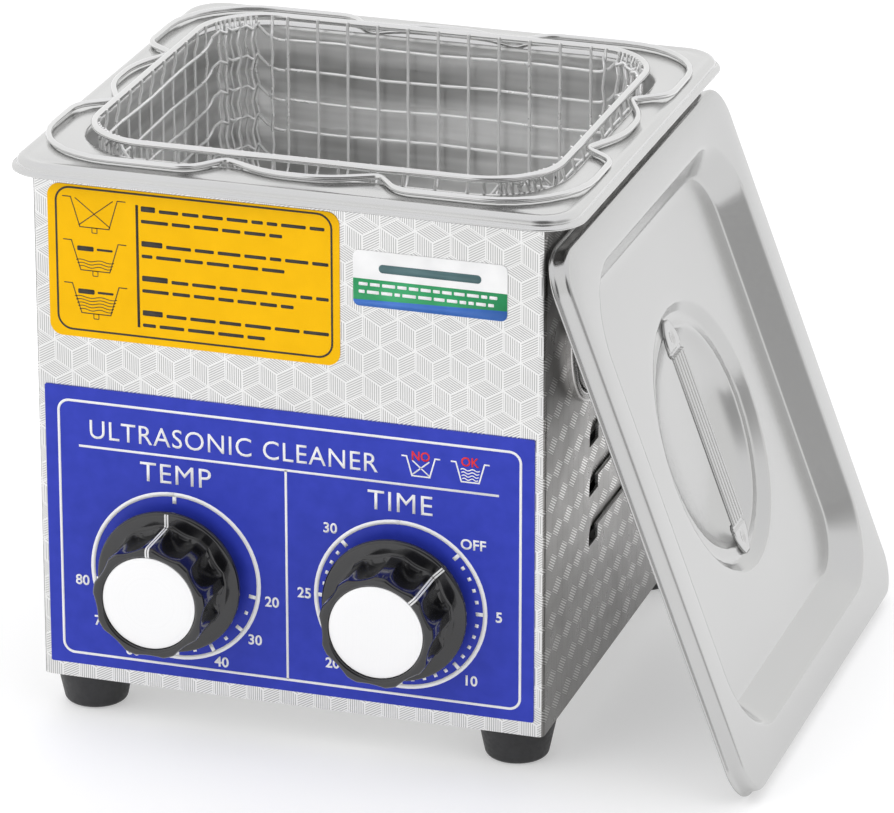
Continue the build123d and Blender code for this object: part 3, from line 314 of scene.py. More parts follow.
TILT = math.radians(69.4)        # the lid's slope
STREAKS_X = (0.6, 14.0, 14.0)
STREAKS_Y = (14.0, 0.6, 14.0)
STREAKS_Z = (14.0, 14.0, 0.6)
MATERIALS = {}
for make, name, *values in (
    # embossed_steel: the front's tint, then the side walls' darker tint, which is painted shade, then the
    # roughness
    (embossed_steel, "embossed_steel", (0.46, 0.46, 0.455), (0.82, 0.82, 0.81),
     ((0.22, 0.21, 0.20), (0.98, 0.97, 0.95)), (0.26, 0.36)),
    (steel, "plain_steel", (0.56, 0.56, 0.55), (0.70, 0.70, 0.69), (0.25, 0.42), STREAKS_X),
    (steel, "polished_steel", (0.59, 0.59, 0.585), (0.66, 0.66, 0.655), (0.26, 0.38), STREAKS_Y),
    (steel, "lid_steel", (0.515, 0.515, 0.51), (0.54, 0.54, 0.535), (0.17, 0.21), STREAKS_X,
     (0, -TILT, 0), 0.000001),
    (steel, "handle_steel", (0.52, 0.51, 0.50), (0.70, 0.69, 0.68), (0.16, 0.28), STREAKS_Y),
    (steel, "shaft_steel", (0.50, 0.50, 0.50), (0.64, 0.64, 0.63), (0.2, 0.35), STREAKS_Z),
    (steel, "screw_steel", (0.55, 0.55, 0.56), (0.74, 0.74, 0.74), (0.14, 0.28), (4, 4, 4)),
    (steel, "basket_wire", (0.66, 0.66, 0.655), (0.76, 0.76, 0.755), (0.07, 0.12), (5, 5, 5)),
    (steel, "head_aluminium", (0.66, 0.66, 0.67), (0.82, 0.82, 0.83), (0.3, 0.45), STREAKS_X),
    (grained, "seal_rubber", (0.55, 0.55, 0.54), (0.7, 0.7, 0.69), 0, (0.5, 0.7), 400, 0.00002),
    (grained, "foot_rubber", (0.010, 0.010, 0.011), (0.022, 0.022, 0.024), 0, (0.42, 0.6), 700, 0.00002),
    (plastic, "panel_blue", (0.026, 0.045, 0.44), (0.034, 0.054, 0.50), (0.36, 0.46),
     0.000006, 1600.0, 0.0, 0.22),
    (plastic, "label_yellow", (0.90, 0.49, 0.002), (0.96, 0.53, 0.003), (0.3, 0.42),
     0.000004, 900.0, 0.0, 0.08),
    (plastic, "sticker_green", (0.84, 0.84, 0.84), (0.93, 0.93, 0.93), (0.3, 0.4)),
    (plastic, "knob_black", (0.004, 0.004, 0.005), (0.010, 0.010, 0.012), (0.10, 0.18), 0.000002, 1300, 0.6),
    (spun, "cap_silver", (0.86, 0.86, 0.86), (0.95, 0.95, 0.95), (0.34, 0.44), "temp_knob_cap"),
    (plastic, "pointer_white", (0.78, 0.78, 0.78), (0.9, 0.9, 0.9), (0.35, 0.5)),
    (plastic, "control_case", (0.55, 0.52, 0.45), (0.68, 0.66, 0.60), (0.4, 0.55), 0.00001),
    (plastic, "piezo_ceramic", (0.55, 0.50, 0.42), (0.66, 0.62, 0.54), (0.5, 0.7), 0.00001),
    (steel, "contact_brass", (0.52, 0.36, 0.13), (0.70, 0.52, 0.22), (0.2, 0.36), (5, 5, 5)),
    (grained, "heater_silicone", (0.42, 0.10, 0.04), (0.58, 0.16, 0.07), 0, (0.5, 0.7), 300, 0.00005),
    (plastic, "board_green", (0.010, 0.10, 0.04), (0.02, 0.17, 0.07), (0.25, 0.4), 0.00001),
    (plastic, "black_plastic", (0.012, 0.012, 0.012), (0.03, 0.03, 0.03), (0.35, 0.5), 0.00001),
    (plastic, "ferrite", (0.05, 0.05, 0.055), (0.09, 0.09, 0.1), (0.5, 0.65), 0.00002),
    (steel, "coil_copper", (0.40, 0.15, 0.06), (0.62, 0.27, 0.12), (0.2, 0.35), (5, 5, 40)),
    (plastic, "capacitor_sleeve", (0.02, 0.03, 0.12), (0.04, 0.06, 0.2), (0.25, 0.4)),
    (plastic, "fuse_white", (0.7, 0.69, 0.65), (0.82, 0.81, 0.77), (0.4, 0.5)),
    (plastic, "terminal_green", (0.04, 0.24, 0.10), (0.07, 0.32, 0.14), (0.35, 0.5)),
):
    MATERIALS[name] = make(name, *values).material
SLOT_OF = {part["node"]: part["material_slot"] for part in frame["record"]["subparts"]}
for node_name, node in frame["nodes"].items():
    node.data.materials.clear()
    node.data.materials.append(MATERIALS[SLOT_OF[node_name]])
# painted light: the mesh wires are paler and less metallic than steel, so that they come out as bright as
# their reflections would make them
MESH_STEEL = grained(
    "mesh_steel", (0.84, 0.84, 0.835), (0.92, 0.92, 0.915), 0.45, (0.26, 0.32), 60.0, 0.0000003
).material
INK_WHITE, INK_BLACK, INK_RED, INK_GREEN, INK_BLUE, INK_GREY = (
    plastic(name, dark, light, (0.4, rough)).material
    for name, dark, light, rough in (
        ("ink_white", (0.86, 0.86, 0.88), (0.95, 0.95, 0.96), 0.5),
        ("ink_black", (0.02, 0.017, 0.012), (0.035, 0.03, 0.02), 0.55),
        ("ink_red", (0.72, 0.012, 0.02), (0.82, 0.02, 0.03), 0.5),
        ("ink_green", (0.015, 0.30, 0.10), (0.03, 0.38, 0.14), 0.5),
        ("ink_blue", (0.03, 0.14, 0.50), (0.05, 0.18, 0.60), 0.5),
        ("ink_grey", (0.06, 0.13, 0.14), (0.09, 0.18, 0.19), 0.5),
    )
)


# ---- mesh helpers ----
def piece(name, verts, faces, material, body, crease, thickness=0.0):
    """A mesh object in the frame, with its creases, its wall and the body that it rides on."""
    mesh = bpy.data.meshes.new(name)
    mesh.from_pydata([tuple(v) for v in verts], [], faces)
    shape = bmesh.new()
    shape.from_mesh(mesh)
    bmesh.ops.remove_doubles(shape, verts=shape.verts, dist=1e-7)
    bmesh.ops.recalc_face_normals(shape, faces=shape.faces)
    shape.to_mesh(mesh)
    shape.free()
    mesh.shade_smooth()
    mesh.set_sharp_from_angle(angle=math.radians(crease))
    mesh.materials.append(material)
    thing = put(name, mesh)
    if thickness:
        wall = thing.modifiers.new("wall", "SOLIDIFY")
        wall.thickness = thickness
        wall.offset = -1.0
    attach(thing, body)
    return thing


def rounded(half_x, half_y, radius, arc=10, run=6):
    """Points round a rectangle with rounded corners, always as many and in the same order."""
    sides = ((1, 1), (-1, 1), (-1, -1), (1, -1))

    def on_arc(corner, turn):
        sx, sy = sides[corner % 4]
        x = sx * (half_x - radius) + radius * math.cos(turn)
        return x, sy * (half_y - radius) + radius * math.sin(turn)

    points = []
    for corner in range(4):
        for step in range(arc + 1):
            points.append(on_arc(corner, math.pi / 2 * (corner + step / arc)))
        start, end = points[-1], on_arc(corner + 1, math.pi / 2 * (corner + 1))
        for step in range(1, run):
            points.append(tuple(a + (b - a) * step / run for a, b in zip(start, end)))
    return points


def loft(rings):
    """Vertices and faces of a skin through rings of equally many points, closed at the last."""
    count = len(rings[0])
    verts = [point for ring in rings for point in ring]
    faces = []
    for level in range(len(rings) - 1):
        near, far = level * count, (level + 1) * count
        for i in range(count):
            j = (i + 1) % count
            faces.append((near + i, near + j, far + j, far + i))
    faces.append(tuple(range((len(rings) - 1) * count, len(rings) * count)))
    return verts, faces


def bend(radius, start, stop, steps):
    """Points of an arc about the origin, from start to stop in degrees."""
    angles = [math.radians(start + (stop - start) * i / steps) for i in range(steps + 1)]
    return [(radius * math.cos(a), radius * math.sin(a)) for a in angles]


# ---- tank with its flange ----
LIP = 1.5                        # how far the skirt's foot stands out past the edge
EDGE_R = 2.2                     # the flange's outer edge
WALL = 1.0
FLANGE_X, FLANGE_Y, FLANGE_R = FLANGE.x - LIP, FLANGE.y - LIP, 12.0
TOP = FLANGE.z
SKIRT = 3.7                      # height of the flange's folded edge
TANK_X, TANK_Y, TANK_R = 75.0, 67.5, 24.0
TANK_FLOOR = local(TANK_LO).z + WALL
ROLL = 2.0                       # the bend from the flange down into the tank
FLOOR_BEND = 6.0                 # the bend from the walls into the floor
INSIDE = 1.2                     # how far past the walls the duller inside finish reaches
FLANGE_ROUGH, INSIDE_ROUGHER = 0.19, 0.14


def tank_steel():
    """The drawn tank: a polished flange, and inside it duller walls painted with bands round them, which are
    partly drawing marks and partly painted reflection, and which are painted lighter than the flange on the
    whole.
    """
    n = steel("tank_steel", (0.59, 0.59, 0.585), (0.67, 0.67, 0.665), (0.15, 0.22), STREAKS_Y)
    x, y, z = n.split(n.seen_from(CENTRE))
    inside = n.math("LESS_THAN", z, (TOP - 1.0) * MM)
    for distance, half in ((x, TANK_X), (y, TANK_Y)):
        within = n.math("LESS_THAN", n.math("ABSOLUTE", distance), (half + INSIDE) * MM)
        inside = n.math("MULTIPLY", inside, within)
    # painted reflection: the walls' colour runs in bands round them, lighter and darker, which stand for
    # drawing marks and for reflected light, and it is lighter than the flange as painted light
    bands = n.noise(1.0, 3.0, n.stretched((7.0, 7.0, 75.0)), 0.55)
    walls = n.tint(n.spread(bands, 0, 1, 0.38, 0.58), (0.55, 0.55, 0.545), (0.98, 0.98, 0.975))
    flange = n.shader.inputs["Base Color"].links[0].from_socket
    both = n.add("ShaderNodeMix", data_type="RGBA")
    n.link(inside, both.inputs["Factor"])
    n.link(flange, both.inputs["A"])
    n.link(walls, both.inputs["B"])
    n.set("Base Color", both.outputs["Result"])
    n.set("Roughness", n.math("MULTIPLY_ADD", inside, INSIDE_ROUGHER, FLANGE_ROUGH))
    return n.material


def tank():
    """One skin from the skirt's foot over the flange and down to the floor, given its wall after."""
    foot = TOP - SKIRT
    outer = [(LIP, foot), (LIP, foot + 0.35), (LIP - 0.25, foot + 0.7)]
    outer += [(0.5, foot + 0.85), (0.12, foot + 1.1), (0.0, foot + 1.6)]
    outer += [(x - EDGE_R, z + TOP - EDGE_R) for x, z in bend(EDGE_R, 0, 90, 7)]
    outer += [(-3.4, TOP - 0.22), (-4.6, TOP - 0.28), (-6.0, TOP - 0.12), (-7.5, TOP)]
    rings = []
    for grow, z in outer:
        ring = rounded(FLANGE_X + grow, FLANGE_Y + grow, FLANGE_R + grow)
        rings.append([place(x, y, z) for x, y in ring])
    inner = [(ROLL - x, z + TOP - ROLL) for x, z in bend(ROLL, 90, 0, 6)]
    inner = [(ROLL + 1.2, TOP)] + inner
    inner += [(0.0, TOP - 20), (0.0, TOP - 40), (0.0, TANK_FLOOR + FLOOR_BEND + 1)]
    inner += [(x - FLOOR_BEND, z + TANK_FLOOR + FLOOR_BEND) for x, z in bend(FLOOR_BEND, 0, -90, 9)]
    inner += [(-FLOOR_BEND - 8, TANK_FLOOR)]
    for grow, z in inner:
        ring = rounded(TANK_X + grow, TANK_Y + grow, max(TANK_R + grow, 4))
        rings.append([place(x, y, z) for x, y in ring])
    verts, faces = loft(rings)
    thing = piece("drawn_tank", verts, faces, tank_steel(), "cleaner", 60, WALL * MM * 0.9)
    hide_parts("tank")


tank()


# ---- basket ----
def wires(name, paths, radius, closed, detail, finish, nodes=()):
    """Round wires along lists of points, in millimetres from the cleaner's centre line."""
    curve = bpy.data.curves.new(name, "CURVE")
    curve.dimensions = "3D"
    curve.bevel_depth = radius * MM
    curve.bevel_resolution = detail
    curve.use_fill_caps = True
    for path in paths:
        spline = curve.splines.new("POLY")
        spline.points.add(len(path) - 1)
        for point, spot in zip(spline.points, path):
            point.co = (*place(*spot), 1)
        spline.use_cyclic_u = closed
        spline.use_smooth = True
    curve.materials.append(finish)
    thing = put(name, curve)
    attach(thing, "basket")
    if nodes:
        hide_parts(*nodes)


def filleted(corners, radii, steps=8):
    """A closed polyline with arcs at its corners."""
    points = []
    count = len(corners)
    for i in range(count):
        before, here, after = (Vector(corners[(i + k) % count]) for k in (-1, 0, 1))
        to_before, to_after = (before - here).normalized(), (after - here).normalized()
        half = to_before.angle(to_after) / 2
        reach = radii[i] / math.tan(half)
        middle = here + (to_before + to_after).normalized() * (radii[i] / math.sin(half))
        first = (here + to_before * reach - middle).normalized()
        last = (here + to_after * reach - middle).normalized()
        for step in range(steps + 1):
            points.append(middle + first.slerp(last, step / steps) * radii[i])
    return [tuple(p) for p in points]


ROD_STEEL = MATERIALS["basket_wire"]
RIM_ROD = (RIM_HI.z - RIM_LO.z) / 2
RIM_Z = (RIM_HI.z + RIM_LO.z) / 2
RIM_X, RIM_Y = RIM_HI.x - RIM_ROD, RIM_HI.y - RIM_ROD
RIM_R = 22.0
LOOP_OUT = 10.5                  # from the ring's outer runs in to its welds on the rim
BOW_OUT = 7.5                    # how far a bow stands out from the welds at its feet
BOW_HALF, BOW_RUN = 24.0, 15.0   # half its length, and the sloping part of that
LOOP_RUN = 8.0                   # from a weld along to the corner loop's outer run
RING_BENDS = [3.0, 30.0, 30.0, 3.0, 9.0, 27.0, 9.0]
MESH_Z = (FLOOR_LO.z + FLOOR_HI.z) / 2
MESH_PITCH = 10.0
WIRE = 0.5
LEVELS = [RIM_Z - 7.5 - MESH_PITCH * k for k in range(5)]
UPRIGHT_IN_X, LEVEL_IN_X = 0.4, 1.3      # the walls' wires, in from the rim rod's middle:
UPRIGHT_IN_Y, LEVEL_IN_Y = 1.3, 0.5      # left and right walls, then front and rear ones
CROSSING = 0.45                  # how far a floor wire lies over or under the middle
FLOOR_TURN = 7.0                 # the wires' bend from a wall into the floor
PLEATS = 9
PLEAT_FIRST, PLEAT_RANGE = 25, 40        # degrees round the corner
PLEAT_DEPTHS = (1.2, 2.6, 4.0)
BAND_DEPTHS, BAND_LIFTS = (1.8, 3.2, 4.4), (4.6, 5.6)
BAND_RISE = ((6, 0.3), (11, 0.9), (16, 2.0), (20, 3.6))    # degrees from the wall, height
BAND_IN = 1.6
random.seed(7)


def rim_and_hanger():
    """The rim rod, and the hanger ring that is welded to it and rests on the flange in loops."""
    outline = [(x, y, RIM_Z) for x, y in rounded(RIM_X, RIM_Y, RIM_R, 16, 2)]
    wires("rim_rod", [outline], RIM_ROD, True, 6, ROD_STEEL, ("basket_rim",))
    rod = (HANGER_HI.z - HANGER_LO.z) / 2
    z = (HANGER_HI.z + HANGER_LO.z) / 2
    corner_x, corner_y = HANGER_HI.x - rod, HANGER_HI.y - rod

    def quarter(cx, cy):
        """One side's bow and the corner loop after it."""
        edge, top = cy - LOOP_OUT, BOW_HALF - BOW_RUN
        bow = [(-BOW_HALF, edge), (-top, edge + BOW_OUT), (top, edge + BOW_OUT), (BOW_HALF, edge)]
        return bow + [(BOW_HALF + LOOP_RUN, cy), (cx, cy), (cx, BOW_HALF + LOOP_RUN)]

    long_side, short_side = quarter(corner_x, corner_y), quarter(corner_y, corner_x)
    corners = [(x, y, z) for x, y in long_side] + [(y, -x, z) for x, y in short_side]
    corners += [(-x, -y, z) for x, y in long_side] + [(-y, x, z) for x, y in short_side]
    ring = filleted(corners, RING_BENDS * 4)
    wires("hanger_ring", [ring], rod, True, 6, ROD_STEEL, ("basket_hanger",))


def hook(sink):
    """The end of a wire, welded to the inside of the rim rod: distance inward, height."""
    around = RIM_ROD + WIRE - 0.3
    return [(-x, RIM_Z + y) for x, y in bend(around, 155, 180, 3)] + [
        (around - 0.1, RIM_Z - 3.0), (sink, RIM_Z - 6.0)
    ]


def folded_wire(at, half, run_x):
    """A mesh wire down from one side of the rim, across the floor and up to the other."""
    sink = UPRIGHT_IN_X if run_x else UPRIGHT_IN_Y
    low = MESH_Z + (CROSSING if run_x else -CROSSING)
    wall = half - sink
    side = [(half - inward, z) for inward, z in hook(sink)]
    side += [(wall + 0.25 * math.sin(k * 2.1 + at), RIM_Z - 14 - 9 * k) for k in range(3)]
    turn = bend(FLOOR_TURN, 0, -90, 6)
    side += [(wall - FLOOR_TURN + x, low + FLOOR_TURN + z) for x, z in turn]
    other = [(-d, z) for d, z in reversed(side)]
    middle = [(d, low) for d in (half * 0.5, 0.0, -half * 0.5)]
    flat = side + middle + other
    return [(d, at, z) if run_x else (at, d, z) for d, z in flat]


def corner_wires():
    """Where the mesh is gathered into the corners: crowded uprights, kinked at each level."""
    uprights, bands = [], []
    pleats = [PLEAT_FIRST + PLEAT_RANGE * j / (PLEATS - 1) for j in range(PLEATS)]
    turns = [math.radians(turn) for turn in (11, *pleats, 79)]
    for sx in (-1, 1):
        for sy in (-1, 1):
            cx, cy = sx * (RIM_X - RIM_R), sy * (RIM_Y - RIM_R)

            def spot(turn, radius, z):
                return (cx + sx * radius * math.cos(turn), cy + sy * radius * math.sin(turn), z)

            for j, turn in enumerate(turns):
                deep = PLEAT_DEPTHS[j % 3]
                lean = math.radians(1.7 if 0 < j < len(turns) - 1 else 0.6)
                path = [spot(turn, RIM_R - 1.2, RIM_Z + 0.55), spot(turn, RIM_R - 1.35, RIM_Z)]
                path.append(spot(turn, RIM_R - deep * 0.7, RIM_Z - 3.5))
                for level in LEVELS:
                    wobble = random.uniform(-0.3, 0.3)
                    path.append(spot(turn + lean, RIM_R - deep + wobble, level + 5.6))
                    path.append(spot(turn - lean, RIM_R - deep - wobble, level + 0.6))
                path.append(spot(turn, RIM_R - deep - 2.0, MESH_Z + 3.0))
                path.append(spot(turn, RIM_R - deep - 6.0, MESH_Z))
                path.append(spot(turn, 4.0, MESH_Z))
                uprights.append(path)
            for level in LEVELS:
                band = [(cx, sy * (RIM_Y - UPRIGHT_IN_Y), level)]
                for turn, lift in BAND_RISE:
                    band.append(spot(math.radians(90 - turn), RIM_R - BAND_IN, level + lift))
                for j in reversed(range(1, PLEATS + 1)):
                    band.append(spot(turns[j], RIM_R - BAND_DEPTHS[j % 3], level + BAND_LIFTS[j % 2]))
                for turn, lift in reversed(BAND_RISE):
                    band.append(spot(math.radians(turn), RIM_R - BAND_IN, level + lift))
                band.append((sx * (RIM_X - LEVEL_IN_X), cy, level))
                bands.append(band)
    return uprights, bands


def basket():
    """The rods, then the mesh: folded wires, level wires round the walls and gathered corners."""
    rim_and_hanger()
    flat_x, flat_y = RIM_X - RIM_R, RIM_Y - RIM_R
    lines_x, lines_y = (
        [MESH_PITCH * i for i in range(-int(flat // MESH_PITCH), int(flat // MESH_PITCH) + 1)]
        for flat in (flat_x, flat_y)
    )
    mesh = [folded_wire(x, RIM_Y, False) for x in lines_x]
    mesh += [folded_wire(y, RIM_X, True) for y in lines_y]
    for sign in (-1, 1):
        for k, level in enumerate(LEVELS):
            wave = [0.35 * math.sin(k + i * 1.7) for i in range(7)]
            side_x, side_y = sign * (RIM_X - LEVEL_IN_X), sign * (RIM_Y - LEVEL_IN_Y)
            mesh.append([(flat_x * (i - 3) / 3, side_y, level + wave[i]) for i in range(7)])
            mesh.append([(side_x, flat_y * (i - 3) / 3, level + wave[i]) for i in range(7)])
    uprights, bands = corner_wires()
    replaced = ("basket_walls", "basket_floor", "basket_corners")
    wires("mesh_wires", mesh, WIRE, False, 2, MESH_STEEL, replaced)
    wires("corner_uprights", uprights, WIRE, False, 2, MESH_STEEL)
    wires("corner_bands", bands, WIRE, False, 2, MESH_STEEL)


basket()


# ---- lid ----
LID_EDGE = 88.5                  # half the lid along its slope, lip included
LID_SKIRT, LID_WALL = 5.5, 0.8
STRIP_END = 38.6                 # half the length of the lid's handle
STRIP_RIBBED = 28.5              # half the length of its ribbed part
STRIP_NECK = 1.4                 # the narrow step between that and a tab
STRIP_HALF_W = 5.5
STRIP_TOP = -9.8                 # its height over the lid's rim
STRIP_WALL = 1.1
TIP_LENGTH = 7.0                 # the tapering end of a tab
DOWN = Vector((math.cos(TILT), 0, -math.sin(TILT)))
OUT = Vector((math.sin(TILT), 0, math.cos(TILT)))
LID_Y = (LID_LO.y + LID_HI.y) / 2
LID_HALF_Y = (LID_HI.y - LID_LO.y) / 2
LID_Z = LID_LO.z + LID_EDGE * math.sin(TILT) + LID_SKIRT * math.cos(TILT)
LID_X = LID_LO.x + LID_EDGE * math.cos(TILT) + LID_SKIRT * math.sin(TILT)


def on_lid(along, across, out):
    """A point given by its place on the lid's sloping top, as a point of the frame."""
    return place(LID_X, LID_Y + across, LID_Z) + (DOWN * along + OUT * out) * MM


def lid_piece(name, verts, faces, crease, wall):
    return piece(name, verts, faces, MATERIALS["lid_steel"], "lid", crease, wall * MM)


def lid():
    """One skin from the lid's edge over its rim, down into the recess and the round bowl."""
    half_u, half_v, corner = LID_EDGE - 1.0, LID_HALF_Y - 1.0, 12.0

    def outline(grow, radius):
        return rounded(half_u + grow, half_v + grow, radius, 12, 8)

    edge = [(1.0, -LID_SKIRT), (1.0, -LID_SKIRT + 0.4), (0.75, -LID_SKIRT + 0.7), (0.3, -LID_SKIRT + 0.9)]
    edge += [(0.05, -LID_SKIRT + 1.3), (0, -LID_SKIRT + 1.9)]
    edge += [(x - 1.3, z - 1.3) for x, z in bend(1.3, 0, 90, 6)]
    rings = []
    for grow, out in edge:
        rings.append([on_lid(x, y, out) for x, y in outline(grow, corner + grow)])
    rings.append([on_lid(x, y, 0) for x, y in outline(-6, 17)])
    slope = [(-10.9, 0.0), (-11.7, -0.08), (-12.3, -0.4), (-12.9, -0.9)]
    slope += [(-19.2, -7.2), (-19.7, -7.65), (-20.2, -7.9), (-20.9, -8.0), (-23.5, -8.0)]
    for grow, out in slope:
        rings.append([on_lid(x, y, out) for x, y in outline(grow, max(37 + grow, 13.5))])
    turns = [math.atan2(y, x) for x, y in outline(-23.5, 13.5)]
    dish = [(47, -8.0), (43.2, -8.0), (42.6, -8.06), (42.1, -8.35), (39.9, -10.5), (39.3, -10.9)]
    dish += [(38.5, -11.0), (36.4, -11.0), (35.6, -10.82), (35.0, -10.85), (34.5, -11.2), (33.4, -12.5)]
    dish += [(31.2, -14.1), (27.8, -15.7), (23.0, -16.9), (17.0, -17.6), (10.0, -17.9), (4.0, -18.0)]
    for radius, out in dish:
        rings.append([on_lid(radius * math.cos(t), radius * math.sin(t), out) for t in turns])
    verts, faces = loft(rings)
    thing = lid_piece("pressed_lid", verts, faces, 60, LID_WALL)
    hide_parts("lid_pan")


def lid_strip():
    """The lid's handle: a ribbed strip across the bowl with a pressed, spot-welded tab at each end."""
    stations, across = 155, 41
    verts, faces = [], []
    for i in range(stations):
        u = -STRIP_END + 2 * STRIP_END * i / (stations - 1)
        d = abs(u)
        tip = max(0.0, (d - (STRIP_END - TIP_LENGTH)) / TIP_LENGTH)
        width = STRIP_HALF_W * (1 - 0.72 * tip ** 1.6)
        neck = STRIP_RIBBED < d < STRIP_RIBBED + STRIP_NECK
        if neck:
            width = STRIP_HALF_W * 0.9
        for j in range(across):
            v = -1 + 2 * j / (across - 1)
            height = STRIP_TOP
            if d < STRIP_RIBBED:
                height += 0.30 + 0.42 * abs(math.cos(v * math.pi * 2.5)) ** 0.5 - 0.45 * abs(v) ** 10
            elif neck:
                height -= 0.3
            else:
                dx, dv = (d - (STRIP_END - 5.2)) / 2.4, v * width / 2.0
                height -= 0.5 * max(0.0, 1 - math.sqrt(dx * dx + dv * dv))
            verts.append(on_lid(u, v * width, height))
    for i in range(stations - 1):
        for j in range(across - 1):
            a = i * across + j
            faces.append((a, a + 1, a + across + 1, a + across))
    thing = lid_piece("ribbed_handle", verts, faces, 50, STRIP_WALL)
    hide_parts("lid_handle")


lid()
lid_strip()


# ---- knobs ----
KNOB_PROFILE = [                 # distance from the panel side, radius, depth of the flutes
    (0.0, 21.6, 0), (0.3, 22.3, 0), (0.65, 22.62, 0), (1.0, 22.7, 0), (1.6, 22.7, 0), (2.0, 22.55, 0),
    (2.28, 22.2, 0), (2.4, 21.7, 0), (2.4, 18.9, 0), (2.48, 18.4, 0.9), (2.7, 18.3, 1.2), (3.1, 18.25, 1.3),
    (3.25, 18.1, 2.2), (3.4, 18.0, 3.1), (6.4, 17.98, 2.65), (9.6, 17.96, 2.2), (12.8, 17.94, 1.78),
    (15.8, 17.92, 1.38), (18.2, 17.9, 1.05), (18.8, 17.8, 0.97), (19.15, 17.6, 0.9), (19.4, 17.3, 0.8),
    (19.52, 16.9, 0.65), (19.54, 16.4, 0.35), (19.5, 15.6, 0), (19.3, 15.1, 0), (18.85, 14.85, 0),
    (18.2, 14.8, 0), (18.2, 10.0, 0), (18.2, 4.0, 0),
]
LOBES = 9
FLUTE_SIDES = 360
FLUTE_HALF = 0.36                # half a flute's width as a share of the pitch
LINE_PATH = [                    # the pointer line from the skirt over the grip: distance, radius
    (2.45, 22.3), (2.45, 18.65), (2.75, 18.36), (3.4, 18.06), (18.2, 17.96), (18.8, 17.86),
    (19.15, 17.66), (19.43, 17.34), (19.55, 16.9), (19.58, 16.4), (19.54, 15.6), (19.34, 15.05),
    (18.95, 14.8),
]
LINE_EDGES = ((-0.66, -0.13), (0.13, 0.66))
INK_T = 0.05
CAP_R, CAP_BACK, CAP_FRONT = 14.7, 18.25, 18.8
CAP_SIDES = 128


def flute(turn):
    """0 on a ridge, 1 in the middle of a flute."""
    share = (LOBES * turn / (2 * math.pi)) % 1.0
    away = abs(share - 0.5) / FLUTE_HALF
    return max(0.0, 1 - away * away)


def knob(name, pointer, body):
    """A fluted knob with its pointer line and its cap; pointer is the line's angle at rest."""
    lo, hi = span(name)
    axis_x, axis_z = (lo.x + hi.x) / 2, (lo.z + hi.z) / 2
    back = hi.y
    start = math.radians(pointer)

    def spot(radius, turn, depth):
        return place(axis_x + radius * math.sin(turn), back - depth, axis_z + radius * math.cos(turn))

    rings = []
    for depth, radius, cut in KNOB_PROFILE:
        ring = []
        for i in range(FLUTE_SIDES):
            turn = 2 * math.pi * i / FLUTE_SIDES
            ring.append(spot(radius - cut * flute(turn), start + turn, depth))
        rings.append(ring)
    verts, faces = loft(rings)
    faces.append(tuple(range(FLUTE_SIDES)))
    grip = piece(name + "_fluted", verts, faces, MATERIALS["knob_black"], body, 62)
    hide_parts(name)

    verts, faces = [], []
    for edges in LINE_EDGES:
        base = len(verts)
        for depth, radius in LINE_PATH:
            for across in edges:
                verts.append(spot(radius, start + across / radius, depth))
        for i in range(len(LINE_PATH) - 1):
            k = base + 2 * i
            faces.append((k, k + 1, k + 3, k + 2))
    white = MATERIALS["pointer_white"]
    line = piece(name + "_line", verts, faces, white, body, 60, INK_T * MM)
    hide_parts(name + "_pointer")

    profile = [(CAP_BACK, CAP_R), (CAP_FRONT - 0.25, CAP_R)]
    profile += [(CAP_FRONT - 0.07, CAP_R - 0.1), (CAP_FRONT, CAP_R - 0.35)]
    profile += [(CAP_FRONT, CAP_R * share) for share in (0.75, 0.5, 0.25, 0.05)]
    rings = [[spot(r, 2 * math.pi * i / CAP_SIDES, d) for i in range(CAP_SIDES)] for d, r in profile]
    verts, faces = loft(rings)
    faces.append(tuple(range(CAP_SIDES)))
    cap = piece(name + "_disc", verts, faces, MATERIALS["cap_silver"], body, 40)
    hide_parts(name + "_cap")


knob("temp_knob", 0.0, "temp_control")
knob("timer_knob", 45.0, "timer_control")


